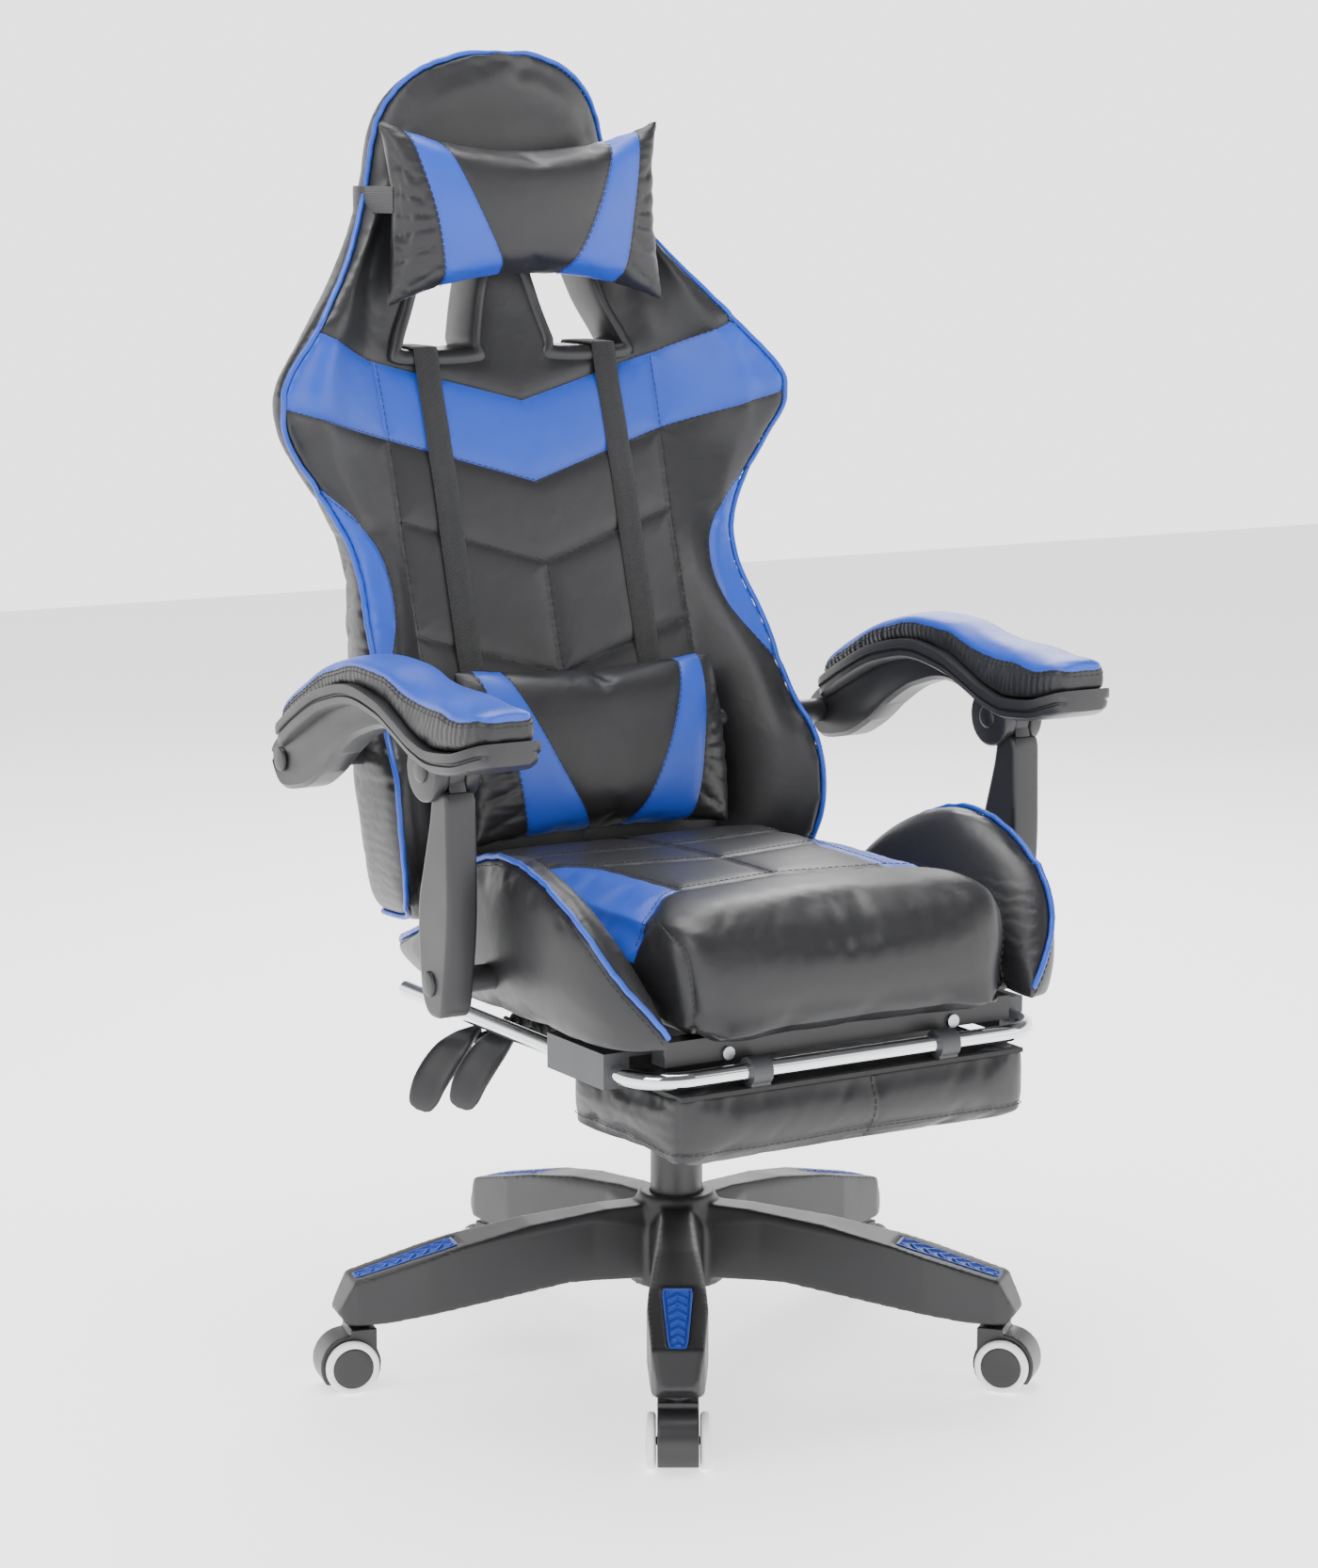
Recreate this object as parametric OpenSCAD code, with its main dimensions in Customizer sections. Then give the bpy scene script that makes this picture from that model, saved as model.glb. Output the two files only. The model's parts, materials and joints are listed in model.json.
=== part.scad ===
// Gaming chair with a linked reclining back, a pull-out footrest and a gas lift.
// Frame: the sitter faces -Y, +X is the sitter's left, +Z is up.
// The origin is on the floor, on the axis of the gas lift.

/* [Base] */
// Radius of the circle of caster stems
base_radius = 315; // [260:5:380]
// Number of arms and casters
arm_count = 5; // [5:1:5]
// Turn of the base under the seat, degrees
base_turn = -31; // [-36:1:36]
// Width of a base arm beside the hub
base_neck_w = 40; // [34:1:46]
// Width of a base arm at its widest
base_wide_w = 56; // [48:1:64]
// Width of a base arm at its tip
base_tip_w = 44; // [36:1:50]
// Height of the hub over the caster shoulders
hub_h = 100; // [85:1:120]
// Diameter of the hub's top ring
hub_d = 75; // [66:1:84]
// Diameter of the hub's skirt
hub_foot_d = 92; // [84:1:100]

/* [Casters] */
// Diameter of a wheel
wheel_d = 51; // [44:1:60]
// Height of the caster's shoulder over the floor
caster_h = 64; // [60:1:76]
// Offset of the wheel axle from the stem
caster_trail = 12.4; // [9:0.1:16]
// Width of the caster's hood
hood_w = 37; // [30:1:44]
// Width of one wheel
wheel_w = 8.5; // [7:0.5:12]
// Diameter of the stem
stem_d = 11; // [9:0.5:12]
// Length of the stem in the base
stem_len = 36; // [25:1:38]
// Diameter of the axle
axle_d = 6; // [5:0.5:8]

/* [Gas lift] */
// Diameter of the outer column
column_d = 50; // [46:1:54]
// Wall of the outer column
column_wall = 2; // [1.5:0.5:3]
// Height of the outer column over the hub
column_rise = 120; // [100:5:130]
// Diameter of the inner column
inner_d = 28; // [26:1:32]
// Diameter of the piston rod
rod_d = 10; // [8:1:12]
// Stroke of the gas lift
lift_travel = 80; // [60:5:90]

/* [Seat] */
// Height of the seat frame's top over the floor, gas lift down
seat_z = 388; // [378:1:420]
// Width of the flat middle cushion
cushion_w = 372; // [340:1:400]
// Thickness of the middle cushion
cushion_t = 109; // [90:1:125]
// Distance from the lift axis to the front of the seat
seat_front = 316; // [300:1:340]
// Distance from the lift axis to the rear of the seat
seat_rear = 165; // [150:1:172]
// Height of the side bolsters' crest over the seat frame
bolster_rise = 157; // [130:1:180]
// Width of a side bolster
bolster_w = 70; // [55:1:78]

/* [Seat frame] */
// Width of the frame's tubes
frame_tube_w = 20; // [16:1:24]
// Height of the frame's tubes
frame_tube_h = 12; // [10:1:14]
// Thickness of the steel plates
plate_t = 6; // [4:0.5:8]
// Diameter of the recline hinge's pins
hinge_pin_d = 12; // [10:1:14]
// Radius of the recline hinge's plates
hinge_r = 19; // [16:1:20]

/* [Back] */
// Height of the back, from its lower edge to its top
back_h = 840; // [760:5:920]
// Width over the shoulders
shoulder_w = 584; // [540:2:620]
// Width of the flat middle panel
panel_w = 300; // [290:2:320]
// Thickness of the back at the head
head_t = 62; // [50:1:75]
// Thickness of the back at its lower end
waist_t = 86; // [75:1:100]
// Wall of the plastic bezels in the strap holes
bezel_wall = 8; // [5:0.5:10]
// How far the bezels stand out
bezel_proud = 5; // [3:0.5:8]

/* [Pillows and straps] */
// Width of the head pillow
head_pillow_w = 300; // [260:2:330]
// Height of the head pillow
head_pillow_h = 182; // [150:2:200]
// Thickness of the head pillow
head_pillow_t = 76; // [60:2:90]
// Width of the lumbar pillow
lumbar_w = 288; // [240:2:294]
// Height of the lumbar pillow
lumbar_h = 168; // [140:2:190]
// Thickness of the lumbar pillow
lumbar_t = 82; // [60:2:120]
// Width of the webbing
webbing_w = 26; // [20:1:32]
// Thickness of the webbing
webbing_t = 2; // [1.5:0.5:3]

/* [Armrests] */
// Distance from the middle plane to the middle of an armrest
armrest_x = 305; // [300:1:320]
// Width of an armrest's strut and arch
strut_w = 30; // [26:1:34]
// Width of the knuckle at the front pivot
knuckle_w = 44; // [38:1:50]
// Radius of the knuckle
knuckle_r = 29; // [24:1:32]
// Width of the tongue between the knuckle's ears
tongue_w = 16; // [12:1:20]
// Diameter of the armrest pivots
arm_pin_d = 10; // [8:1:12]
// Diameter of the pivot caps
arm_cap_d = 20; // [16:1:24]
// Width of the arm pad
pad_w = 78; // [64:2:84]
// Thickness of the arm pad
pad_t = 34; // [26:1:40]

/* [Footrest] */
// Diameter of the chromed tube
rail_d = 16; // [12:1:18]
// Distance from the middle plane to a rail
rail_x = 212; // [206:1:222]
// Stroke of the footrest
slide_travel = 300; // [240:10:300]
// Width of the footrest pad
foot_pad_w = 376; // [320:2:380]
// Depth of the footrest pad
foot_pad_d = 198; // [160:2:200]
// Thickness of the footrest pad
foot_pad_t = 56; // [40:1:66]

/* [Levers] */
// Diameter of the lever rods
lever_rod_d = 8; // [6:1:10]
// Width of the lever paddles
paddle_w = 34; // [26:1:40]
// Distance between the two levers
lever_pitch = 55; // [50:1:60]

/* [Hidden] */
$fn = 48;

// Clearances: running fits, pieces laid side by side, and the opened pivot.
run_fit = 0.05;
lay_gap = 0.4;
open_fit = 0.3;
cut = 1;

// Colours
black_plastic = "#3c3c3e";
black_leather = "#444446";
blue_leather = "#3f66c8";
steel = "#2b2b2d";
bright_steel = "#c9ccd0";

// --- Base and casters -----------------------------------------------------------
hub_top = caster_h + hub_h;
tip_end = base_radius + 24;
socket_fit = run_fit;

// Side view of one arm, as (radius, height): it tapers from the hub to the tip.
arm_side = [[20, hub_top - 8], [76, hub_top - 10], [0.48 * base_radius, hub_top - 18],
            [0.7 * base_radius, hub_top - 31], [base_radius + 8, hub_top - 57],
            [tip_end, caster_h + 12], [tip_end - 10, caster_h + 0.2],
            [base_radius - 20, caster_h + 0.2],
            [0.72 * base_radius, caster_h + 8], [0.36 * base_radius, caster_h + 22],
            [20, caster_h + 20]];

// Half of the plan of one arm, as (half width, radius).
arm_half = [[base_neck_w / 2 + 6, 20], [base_neck_w / 2, 90], [base_wide_w / 2, 0.8 * base_radius],
            [base_tip_w / 2 + 2, base_radius + 6], [base_tip_w / 2 - 3, tip_end - 4],
            [base_tip_w / 2 - 9, tip_end]];

function mirrored(half) =
    concat(half, [for (i = [len(half) - 1:-1:0]) [-half[i][0], half[i][1]]]);

module around(i) { rotate([0, 0, base_turn + i * 360 / arm_count]) children(); }

// Draws a side view (y, z) as a slab from x0 to x1.
module slab_yz(points, x0, x1) {
    translate([x0, 0, 0]) rotate([90, 0, 90]) linear_extrude(x1 - x0) polygon(points);
}

module base_arm() {
    ridge = base_neck_w / 2 - 10;
    intersection() {
        slab_yz([for (p = arm_side) [-p[0], p[1]]], -base_wide_w, base_wide_w);
        translate([0, 0, 1]) linear_extrude(hub_top)
            polygon([for (p = mirrored(arm_half)) [p[0], -p[1]]]);
        // Sloping flanks: a tall wedge section drawn along the arm
        rotate([90, 0, 0]) linear_extrude(tip_end + cut)
            polygon([[-base_wide_w, 0], [base_wide_w, 0], [base_wide_w, caster_h + 10],
                     [ridge, hub_top], [-ridge, hub_top], [-base_wide_w, caster_h + 10]]);
    }
}

module star_base() {
    color(black_plastic) difference() {
        union() {
            for (i = [0:arm_count - 1]) around(i) base_arm();
            rotate_extrude($fn = 64) polygon([[0, caster_h + 12], [hub_foot_d / 2, caster_h + 12],
                [hub_foot_d / 2, caster_h + 62], [hub_d / 2 + 3, hub_top - 12],
                [hub_d / 2, hub_top - 2], [hub_d / 2 - 2, hub_top], [0, hub_top]]);
        }
        translate([0, 0, caster_h]) cylinder(h = hub_h + cut, d = column_d + 2 * socket_fit);
        for (i = [0:arm_count - 1]) around(i) {
            translate([0, -base_radius, caster_h - cut])
                cylinder(h = stem_len + cut, d = stem_d + 2 * socket_fit);
            inlay_cut();
        }
    }
}

// The blue panel let into the top of each arm follows the arm's slope.
inlay_r0 = 0.7 * base_radius;
inlay_r1 = base_radius + 6;
inlay_w0 = 30;
inlay_w1 = 18;
inlay_t = 2.5;
inlay_drop = (hub_top - 31) - (hub_top - 57);
inlay_slope = atan(inlay_drop / (base_radius + 8 - 0.7 * base_radius));

module inlay_body(grow, t) {
    translate([0, -inlay_r0, hub_top - 31]) rotate([inlay_slope, 0, 0]) translate([0, 0, -inlay_t])
        linear_extrude(t) polygon([[-inlay_w0 / 2 - grow, grow], [inlay_w0 / 2 + grow, grow],
            [inlay_w1 / 2 + grow, -(inlay_r1 - inlay_r0) - grow],
            [-inlay_w1 / 2 - grow, -(inlay_r1 - inlay_r0) - grow]]);
}
module inlay_cut() { inlay_body(lay_gap, 20); }

module base_inlays() {
    color(blue_leather) for (i = [0:arm_count - 1]) around(i)
        translate([0, 0, run_fit]) inlay_body(0, inlay_t);
}

wheel_z = wheel_d / 2;
wheel_in = hood_w / 2 + 1;
wheel_out = wheel_in + wheel_w;

module at_caster(i) {
    around(i) translate([0, -base_radius, 0]) children();
}

// Hood, stem and axle of a caster; the wheel trails outward.
module caster(i) {
    hood_r = wheel_d / 2 + 3.5;
    color(black_plastic) at_caster(i) difference() {
        intersection() {
            rotate([90, 0, 90]) translate([0, 0, -hood_w / 2]) linear_extrude(hood_w) union() {
                translate([-caster_trail, wheel_z]) circle(r = hood_r, $fn = 64);
                translate([-12, wheel_z]) square([25, caster_h - wheel_z - 4]);
            }
            translate([-hood_w, -hood_w - caster_trail, 8])
                cube([2 * hood_w, 2 * hood_w + 2 * caster_trail, caster_h - 8 - 4]);
        }
        translate([0, -caster_trail, wheel_z]) rotate([0, 90, 0])
            cylinder(h = hood_w + 2 * cut, d = axle_d + 2 * run_fit, center = true);
        translate([0, 0, wheel_z + 8]) cylinder(h = caster_h, d = stem_d + 2 * run_fit);
    }
    color(bright_steel) at_caster(i) {
        translate([0, 0, wheel_z + 8]) cylinder(h = caster_h - wheel_z - 8 + stem_len - 2, d = stem_d);
        translate([0, 0, caster_h - 3.9]) cylinder(h = 3.8, d = stem_d + 8);
        translate([0, -caster_trail, wheel_z]) rotate([0, 90, 0])
            cylinder(h = 2 * (wheel_out - 2), d = axle_d, center = true);
    }
}

module caster_wheel(i, side) {
    core_r = 0.75 * wheel_d / 2;
    bore_r = axle_d / 2 + run_fit;
    color("#e8e8ea") at_caster(i) translate([0, -caster_trail, wheel_z]) rotate([0, side * 90, 0])
        rotate_extrude($fn = 64) polygon([[bore_r, wheel_in - 0.4], [9, wheel_in - 0.4],
            [9, wheel_in], [wheel_d / 2 - 1.5, wheel_in], [wheel_d / 2, wheel_in + 1.5],
            [wheel_d / 2, wheel_out - 1.5], [wheel_d / 2 - 1.5, wheel_out],
            [core_r, wheel_out], [core_r - 1, wheel_out + 0.8], [0, wheel_out + 0.8],
            [0, wheel_out - 1.8], [bore_r, wheel_out - 1.8]]);
}

// --- Gas lift -------------------------------------------------------------------
column_bottom = caster_h - 8;
column_top = hub_top + column_rise;
floor_t = 3;
bearing_t = 5;
mech_h = 45;
mech_top = seat_z - frame_tube_h;
mech_bottom = mech_top - mech_h;
inner_bottom = column_top - lift_travel - 90;
rod_top = column_top - 40;
bush_len = 80;

module tube(h, d_out, d_in) {
    difference() {
        cylinder(h = h, d = d_out);
        translate([0, 0, -cut]) cylinder(h = h + 2 * cut, d = d_in);
    }
}

module column_outer() {
    color(steel) difference() {
        translate([0, 0, column_bottom]) cylinder(h = column_top - column_bottom, d = column_d);
        translate([0, 0, column_bottom + floor_t])
            cylinder(h = column_top, d = column_d - 2 * column_wall);
        translate([0, 0, 0]) cylinder(h = column_top, d = rod_d + 2 * run_fit);
    }
}

module guide_bush() {
    color(black_plastic) translate([0, 0, column_top - bush_len]) {
        tube(bush_len, column_d - 2 * column_wall - 2 * run_fit, inner_d + 2 * run_fit);
        translate([0, 0, bush_len]) tube(4, column_d, inner_d + 2 * run_fit);
    }
}

module piston_rod() {
    color(bright_steel) union() {
        translate([0, 0, column_bottom - 6]) cylinder(h = rod_top - column_bottom + 6, d = rod_d);
        translate([0, 0, column_bottom + floor_t + bearing_t + 0.2]) cylinder(h = 4, d = rod_d + 10);
    }
}

module thrust_bearing() {
    color(bright_steel) translate([0, 0, column_bottom + floor_t + 0.1])
        tube(bearing_t, rod_d + 16, rod_d + 2 * run_fit);
}

module retaining_clip() {
    color(bright_steel) translate([0, 0, column_bottom - 3]) tube(2.8, rod_d + 9, rod_d + 2 * run_fit);
}

module column_inner() {
    color(steel) difference() {
        translate([0, 0, inner_bottom]) cylinder(h = mech_bottom - 9 + mech_h - lay_gap - inner_bottom, d = inner_d);
        translate([0, 0, inner_bottom - cut])
            cylinder(h = rod_top - inner_bottom + 6, d = rod_d + 2 * run_fit);
    }
}

// --- Seat frame, mechanism and hinge --------------------------------------------
half_cushion = cushion_w / 2;
frame_half = half_cushion - 1;
member_x0 = 101;
member_x1 = member_x0 + frame_tube_w;
frame_front = seat_front - 32;
frame_rear = seat_rear - 15;
channel_drop = 10;
channel_d = 22;
mech_x = 70;
mech_y0 = -60;
mech_y1 = 96;
flange_x = member_x1 - 1;
bolt_x = (member_x0 + member_x1) / 2;
bolt_y = [mech_y0 + 12, mech_y1 - 12];
bolt_d = 8;

// Pivots in side view (y, z). The hinge closes the armrest parallelogram.
pivot_a = [-107, seat_z + 35];
pivot_b = [-109, seat_z + 228];
pivot_c = [192, seat_z + 196];
hinge = [pivot_c[0] + pivot_a[0] - pivot_b[0], pivot_c[1] + pivot_a[1] - pivot_b[1]];

module box(x0, x1, y0, y1, z0, z1) {
    translate([x0, y0, z0]) cube([x1 - x0, y1 - y0, z1 - z0]);
}

// Draws its children on the sitter's left, and mirrored on the right.
module both() {
    children();
    mirror([1, 0, 0]) children();
}

module side(s) { if (s > 0) children(); else mirror([1, 0, 0]) children(); }

// A cylinder along +x through a side-view point.
module pin_x(p, x0, x1, d) {
    translate([x0, p[0], p[1]]) rotate([0, 90, 0]) cylinder(h = x1 - x0, d = d);
}

module seat_frame() {
    z0 = seat_z - frame_tube_h;
    color(steel) difference() {
        union() {
            both() {
                box(frame_half - frame_tube_w, frame_half, -frame_front, frame_rear, z0, seat_z);
                box(member_x0, member_x1, -frame_front + cut, frame_rear - cut, z0, seat_z);
                // Ear that carries the armrest's lower pivot
                box(frame_half, half_cushion + 3, pivot_a[0] - 24, pivot_a[0] + 24, z0,
                    pivot_a[1] + 18);
            }
            box(-frame_half + cut, frame_half - cut, frame_rear - frame_tube_w, frame_rear, z0, seat_z);
            box(-frame_half + cut, frame_half - cut, -frame_front, -frame_front + channel_d,
                z0 - channel_drop, seat_z);
        }
        for (y = bolt_y) both() translate([bolt_x, y, z0 - cut])
            cylinder(h = frame_tube_h + 2 * cut, d = bolt_d + 0.4);
        for (x = [-120, 120]) translate([x, -frame_front - cut, z0 - channel_drop / 2 + 1])
            rotate([-90, 0, 0]) cylinder(h = 14, d = bolt_d + 0.4);
        both() pin_x(pivot_a, frame_half - cut, half_cushion + 3 + cut, arm_pin_d + 2 + 2 * run_fit);
    }
}

module mechanism_housing() {
    color(steel) difference() {
        union() {
            box(-flange_x, flange_x, mech_y0, mech_y1, mech_top - 3, mech_top);
            box(-mech_x, mech_x, mech_y0 + 4, mech_y1 - 4, mech_bottom, mech_top - 2.5);
            translate([0, 0, mech_bottom - 8]) cylinder(h = 10, d = inner_d + 16);
        }
        translate([0, 0, mech_bottom - 9]) cylinder(h = mech_h, d = inner_d + 2 * run_fit);
        for (y = bolt_y) both() translate([bolt_x, y, mech_top - 4])
            cylinder(h = 6, d = bolt_d + 0.4);
        lever_slot(lift_y);
        lever_slot(recline_y);
    }
}

module bolt() {
    cylinder(h = 14, d = bolt_d);
    translate([0, 0, -4]) cylinder(h = 4, d = 15);
}

module frame_bolts() {
    color(bright_steel) {
        for (y = bolt_y) both() translate([bolt_x, y, mech_top - 3]) bolt();
        for (x = [-120, 120]) translate([x, -frame_front, mech_top - channel_drop / 2 + 1])
            rotate([-90, 0, 0]) scale([0.8, 0.8, 0.8]) bolt();
    }
}

bracket_x0 = panel_w / 2 - 22;
bracket_x1 = bracket_x0 + plate_t;
seat_plate_x1 = bracket_x0 - 1;
seat_plate_x0 = seat_plate_x1 - plate_t;

module hinge_plates() {
    color(steel) both() difference() {
        union() {
            slab_yz([[hinge[0] - 100, mech_top], [hinge[0] - 100, mech_top - 14],
                     [hinge[0] - 4, hinge[1] - hinge_r + 0.5], [hinge[0] + 4, hinge[1] - hinge_r + 0.5],
                     [hinge[0] + 4, hinge[1] + hinge_r - 4], [hinge[0] - 8, hinge[1] + hinge_r - 2],
                     [frame_rear + 2, mech_top + 8], [frame_rear + 2, mech_top]],
                    seat_plate_x0, seat_plate_x1);
            pin_x(hinge, seat_plate_x0, seat_plate_x1, 2 * hinge_r);
        }
        pin_x(hinge, seat_plate_x0 - cut, seat_plate_x1 + cut, hinge_pin_d + 2 * run_fit);
    }
}

module hinge_pins() {
    color(bright_steel) both() union() {
        pin_x(hinge, seat_plate_x0 - 1, bracket_x1 + 3, hinge_pin_d);
        pin_x(hinge, seat_plate_x0 - 5, seat_plate_x0 - 0.2, hinge_pin_d + 8);
    }
}

// --- Seat cushions --------------------------------------------------------------
module seat_cushion() {
    top = seat_z + cushion_t;
    z0 = seat_z + lay_gap;
    color(black_leather) difference() {
        slab_yz([[-seat_front + 14, z0], [-seat_front + 2, z0 + 20],
            [-seat_front, seat_z + 0.55 * cushion_t], [-seat_front + 8, top - 20],
            [-seat_front + 34, top - 4], [-200, top], [-60, top], [80, top - 8],
            [seat_rear, top - 18], [seat_rear, z0 + 24], [seat_rear - 16, z0]],
            -half_cushion, half_cushion);
        // Pockets for the frame's ears and the lower pivots' inner ends
        both() {
            box(frame_half - lay_gap, half_cushion + cut, pivot_a[0] - 24 - lay_gap,
                pivot_a[0] + 24 + lay_gap, seat_z - cut, pivot_a[1] + 18 + lay_gap);
            pin_x(pivot_a, frame_half - 3 - lay_gap, half_cushion, arm_pin_d + 2 + 2 * lay_gap);
        }
    }
}

bolster_x0 = half_cushion + 3 + lay_gap;
bolster_x1 = bolster_x0 + bolster_w;
bolster_z0 = seat_z - 3;

// Side view of a seat bolster: a fin that is highest beside the sitter's thigh.
bolster_side = [[-seat_front + 4, bolster_z0], [-seat_front + 4, seat_z + 12],
    [-seat_front + 14, seat_z + 40], [-seat_front + 32, seat_z + 70],
    [-seat_front + 62, seat_z + 0.67 * bolster_rise], [-205, seat_z + 0.86 * bolster_rise],
    [-142, seat_z + bolster_rise], [-85, seat_z + 0.96 * bolster_rise],
    [-40, seat_z + 0.85 * bolster_rise], [0, seat_z + 92], [28, seat_z + 58],
    [seat_rear - 70, seat_z + 32], [seat_rear - 25, seat_z + 18], [seat_rear - 15, bolster_z0]];

// Plan of a bolster: it narrows towards the front and the rear.
bolster_plan = [[bolster_x0, -seat_front + 4], [bolster_x0 + 14, -seat_front + 3],
    [bolster_x1 - 18, -seat_front + 50], [bolster_x1 - 4, -200], [bolster_x1, -130],
    [bolster_x1, 20], [bolster_x1 - 8, seat_rear - 30], [bolster_x0 + 20, seat_rear],
    [bolster_x0, seat_rear]];

module seat_bolster() {
    difference() {
        intersection() {
            slab_yz(bolster_side, bolster_x0 - cut, bolster_x1 + cut);
            translate([0, 0, bolster_z0 - cut]) linear_extrude(bolster_rise + 20)
                polygon(bolster_plan);
            // The outer wall leans in towards the crest and the foot
            rotate([90, 0, 0]) translate([0, 0, -seat_rear - cut]) linear_extrude(2 * seat_front)
                polygon([[bolster_x0, bolster_z0 - cut], [bolster_x1 - 16, bolster_z0 - cut],
                    [bolster_x1, seat_z + 40], [bolster_x1, seat_z + 90],
                    [bolster_x1 - 10, seat_z + bolster_rise + cut],
                    [bolster_x1 - 34, seat_z + bolster_rise + cut], [bolster_x0, seat_z + 95]]);
        }
        pin_x(pivot_a, bolster_x0 - cut, bolster_x1 + cut, mount_d + 2 * lay_gap);
    }
}
module seat_bolster_l() { color(black_leather) side(1) seat_bolster(); }
module seat_bolster_r() { color(black_leather) side(-1) seat_bolster(); }

// --- Back -----------------------------------------------------------------------
// Every profile runs over t, from 0 at the lower edge to 1 at the top.
back_z0 = seat_z + 24;
back_y0 = 171;
lean = back_h / 840;
wide = shoulder_w / 584;
half_panel = panel_w / 2;
function back_z(t) = back_z0 + t * back_h;

// Depth of the middle panel's face, of the wings' face, and thickness, in millimetres.
face_line = [[0, 0], [0.105, 10], [0.19, 30], [0.27, 51], [0.4, 84], [0.49, 104], [0.59, 131],
             [0.65, 149], [0.71, 163], [0.8, 171], [0.905, 171], [0.965, 160], [1, 148]];
wing_line = [[0, -22], [0.045, -60], [0.12, -73], [0.18, -64], [0.24, -28], [0.32, 8],
             [0.395, 52], [0.45, 75], [0.525, 81], [0.61, 67], [0.68, 88], [0.72, 112]];
half_line = [[0, 212], [0.04, 232], [0.14, 241], [0.27, 232], [0.34, 227], [0.385, 222],
             [0.42, 225], [0.46, 239], [0.505, 262], [0.55, 283], [0.588, 292], [0.612, 290],
             [0.645, 270], [0.68, 243], [0.735, 205], [0.79, 175], [0.85, 149], [0.9, 138],
             [0.938, 127], [0.976, 100], [0.994, 62], [1, 20]];
function face_y(t) = back_y0 + lean * lookup(t, face_line);
function wing_y(t) = back_y0 + lean * lookup(t, wing_line);
function back_half(t) = wide * lookup(t, half_line);
function thick(t) = waist_t + t * (head_t - waist_t);
function rear_y(t) = face_y(t) + thick(t);
function at_face(t, off) = [face_y(t) + off, back_z(t)];

panel_top_t = 0.71;

module side_view(front, t_low, t_high) {
    steps = [for (p = face_line) if (p[0] > t_low && p[0] < t_high) p[0]];
    rear = concat([t_high], [for (i = [len(steps) - 1:-1:0]) steps[i]], [t_low]);
    slab_yz(concat(front, [for (t = rear) [rear_y(t) - (t >= 1 ? 30 : 0), back_z(t)]]),
            -shoulder_w, shoulder_w);
}

module front_view(t_low, t_high) {
    ts = concat([t_low], [for (p = half_line) if (p[0] > t_low && p[0] < t_high) p[0]], [t_high]);
    half = [for (t = ts) [back_half(t), back_z(t)]];
    rotate([90, 0, 0]) translate([0, 0, -seat_front - back_h]) linear_extrude(2 * back_h)
        polygon(mirrored(half));
}

// One strap hole on the sitter's left, widened by g all round.
module strap_hole(g, y0, y1) {
    z0 = back_z(0.65);
    h = 0.11 * back_h;
    translate([0, y1, 0]) rotate([90, 0, 0]) linear_extrude(y1 - y0)
        polygon([[52 - g, z0 - g], [118 + g, z0 - g], [121 + g, z0 + 6], [104 + g, z0 + 0.45 * h],
                 [86 + g, z0 + h - 4], [80 + 0.5 * g, z0 + h + g], [34 - 0.5 * g, z0 + h + g],
                 [27 - g, z0 + h - 4], [36 - g, z0 + 0.55 * h], [48 - g, z0 + 8]]);
}

// The bent line of the side tubes inside the back.
rail_t0 = 0.012;
rail_t1 = 0.6;
rail_y0 = 215;
rail_y1 = back_y0 + lean * 163;
rail_depth = 22;
rail_w = 16;
frame_x1 = half_panel;
frame_x0 = frame_x1 - rail_w;
function rail_y(t) = rail_y0 + (t - rail_t0) / (rail_t1 - rail_t0) * (rail_y1 - rail_y0);
cross_ts = [0.1, 0.35, 0.58];
cross_h = 16;

module back_rail(g, x0, x1) {
    d = rail_depth / 2 + g;
    slab_yz([[rail_y(rail_t0) - d, back_z(rail_t0) - g], [rail_y(rail_t1) - d, back_z(rail_t1) + g],
             [rail_y(rail_t1) + d, back_z(rail_t1) + g], [rail_y(rail_t0) + d, back_z(rail_t0) - g]],
            x0, x1);
}

module cross_bar(t, g) {
    box(-frame_x0 - g, frame_x0 + g, rail_y(t) - 8 - g, rail_y(t) + 8 + g,
        back_z(t) - cross_h / 2 - g, back_z(t) + cross_h / 2 + g);
}

module back_frame() {
    color(steel) union() {
        both() back_rail(0, frame_x0, frame_x1);
        for (t = cross_ts) cross_bar(t, 0.5);
    }
}

// Plates that carry the back on the recline hinge.
bracket_side = [[hinge[0] - 14, hinge[1]], [rail_y(rail_t0) - 14, back_z(0.03)],
    [rail_y(0.07) - 9, back_z(0.07)], [rail_y(0.07) + 9, back_z(0.07)],
    [rail_y(rail_t0) + 12, back_z(0.03)], [hinge[0] + 18, hinge[1]]];

module bracket_shape(x0, x1) {
    union() {
        slab_yz(bracket_side, x0, x1);
        pin_x(hinge, x0, x1, 2 * hinge_r);
    }
}

module back_brackets() {
    color(steel) both() difference() {
        bracket_shape(bracket_x0, bracket_x1);
        pin_x(hinge, bracket_x0 - cut, bracket_x1 + cut, hinge_pin_d + 2 * run_fit);
    }
}

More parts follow.
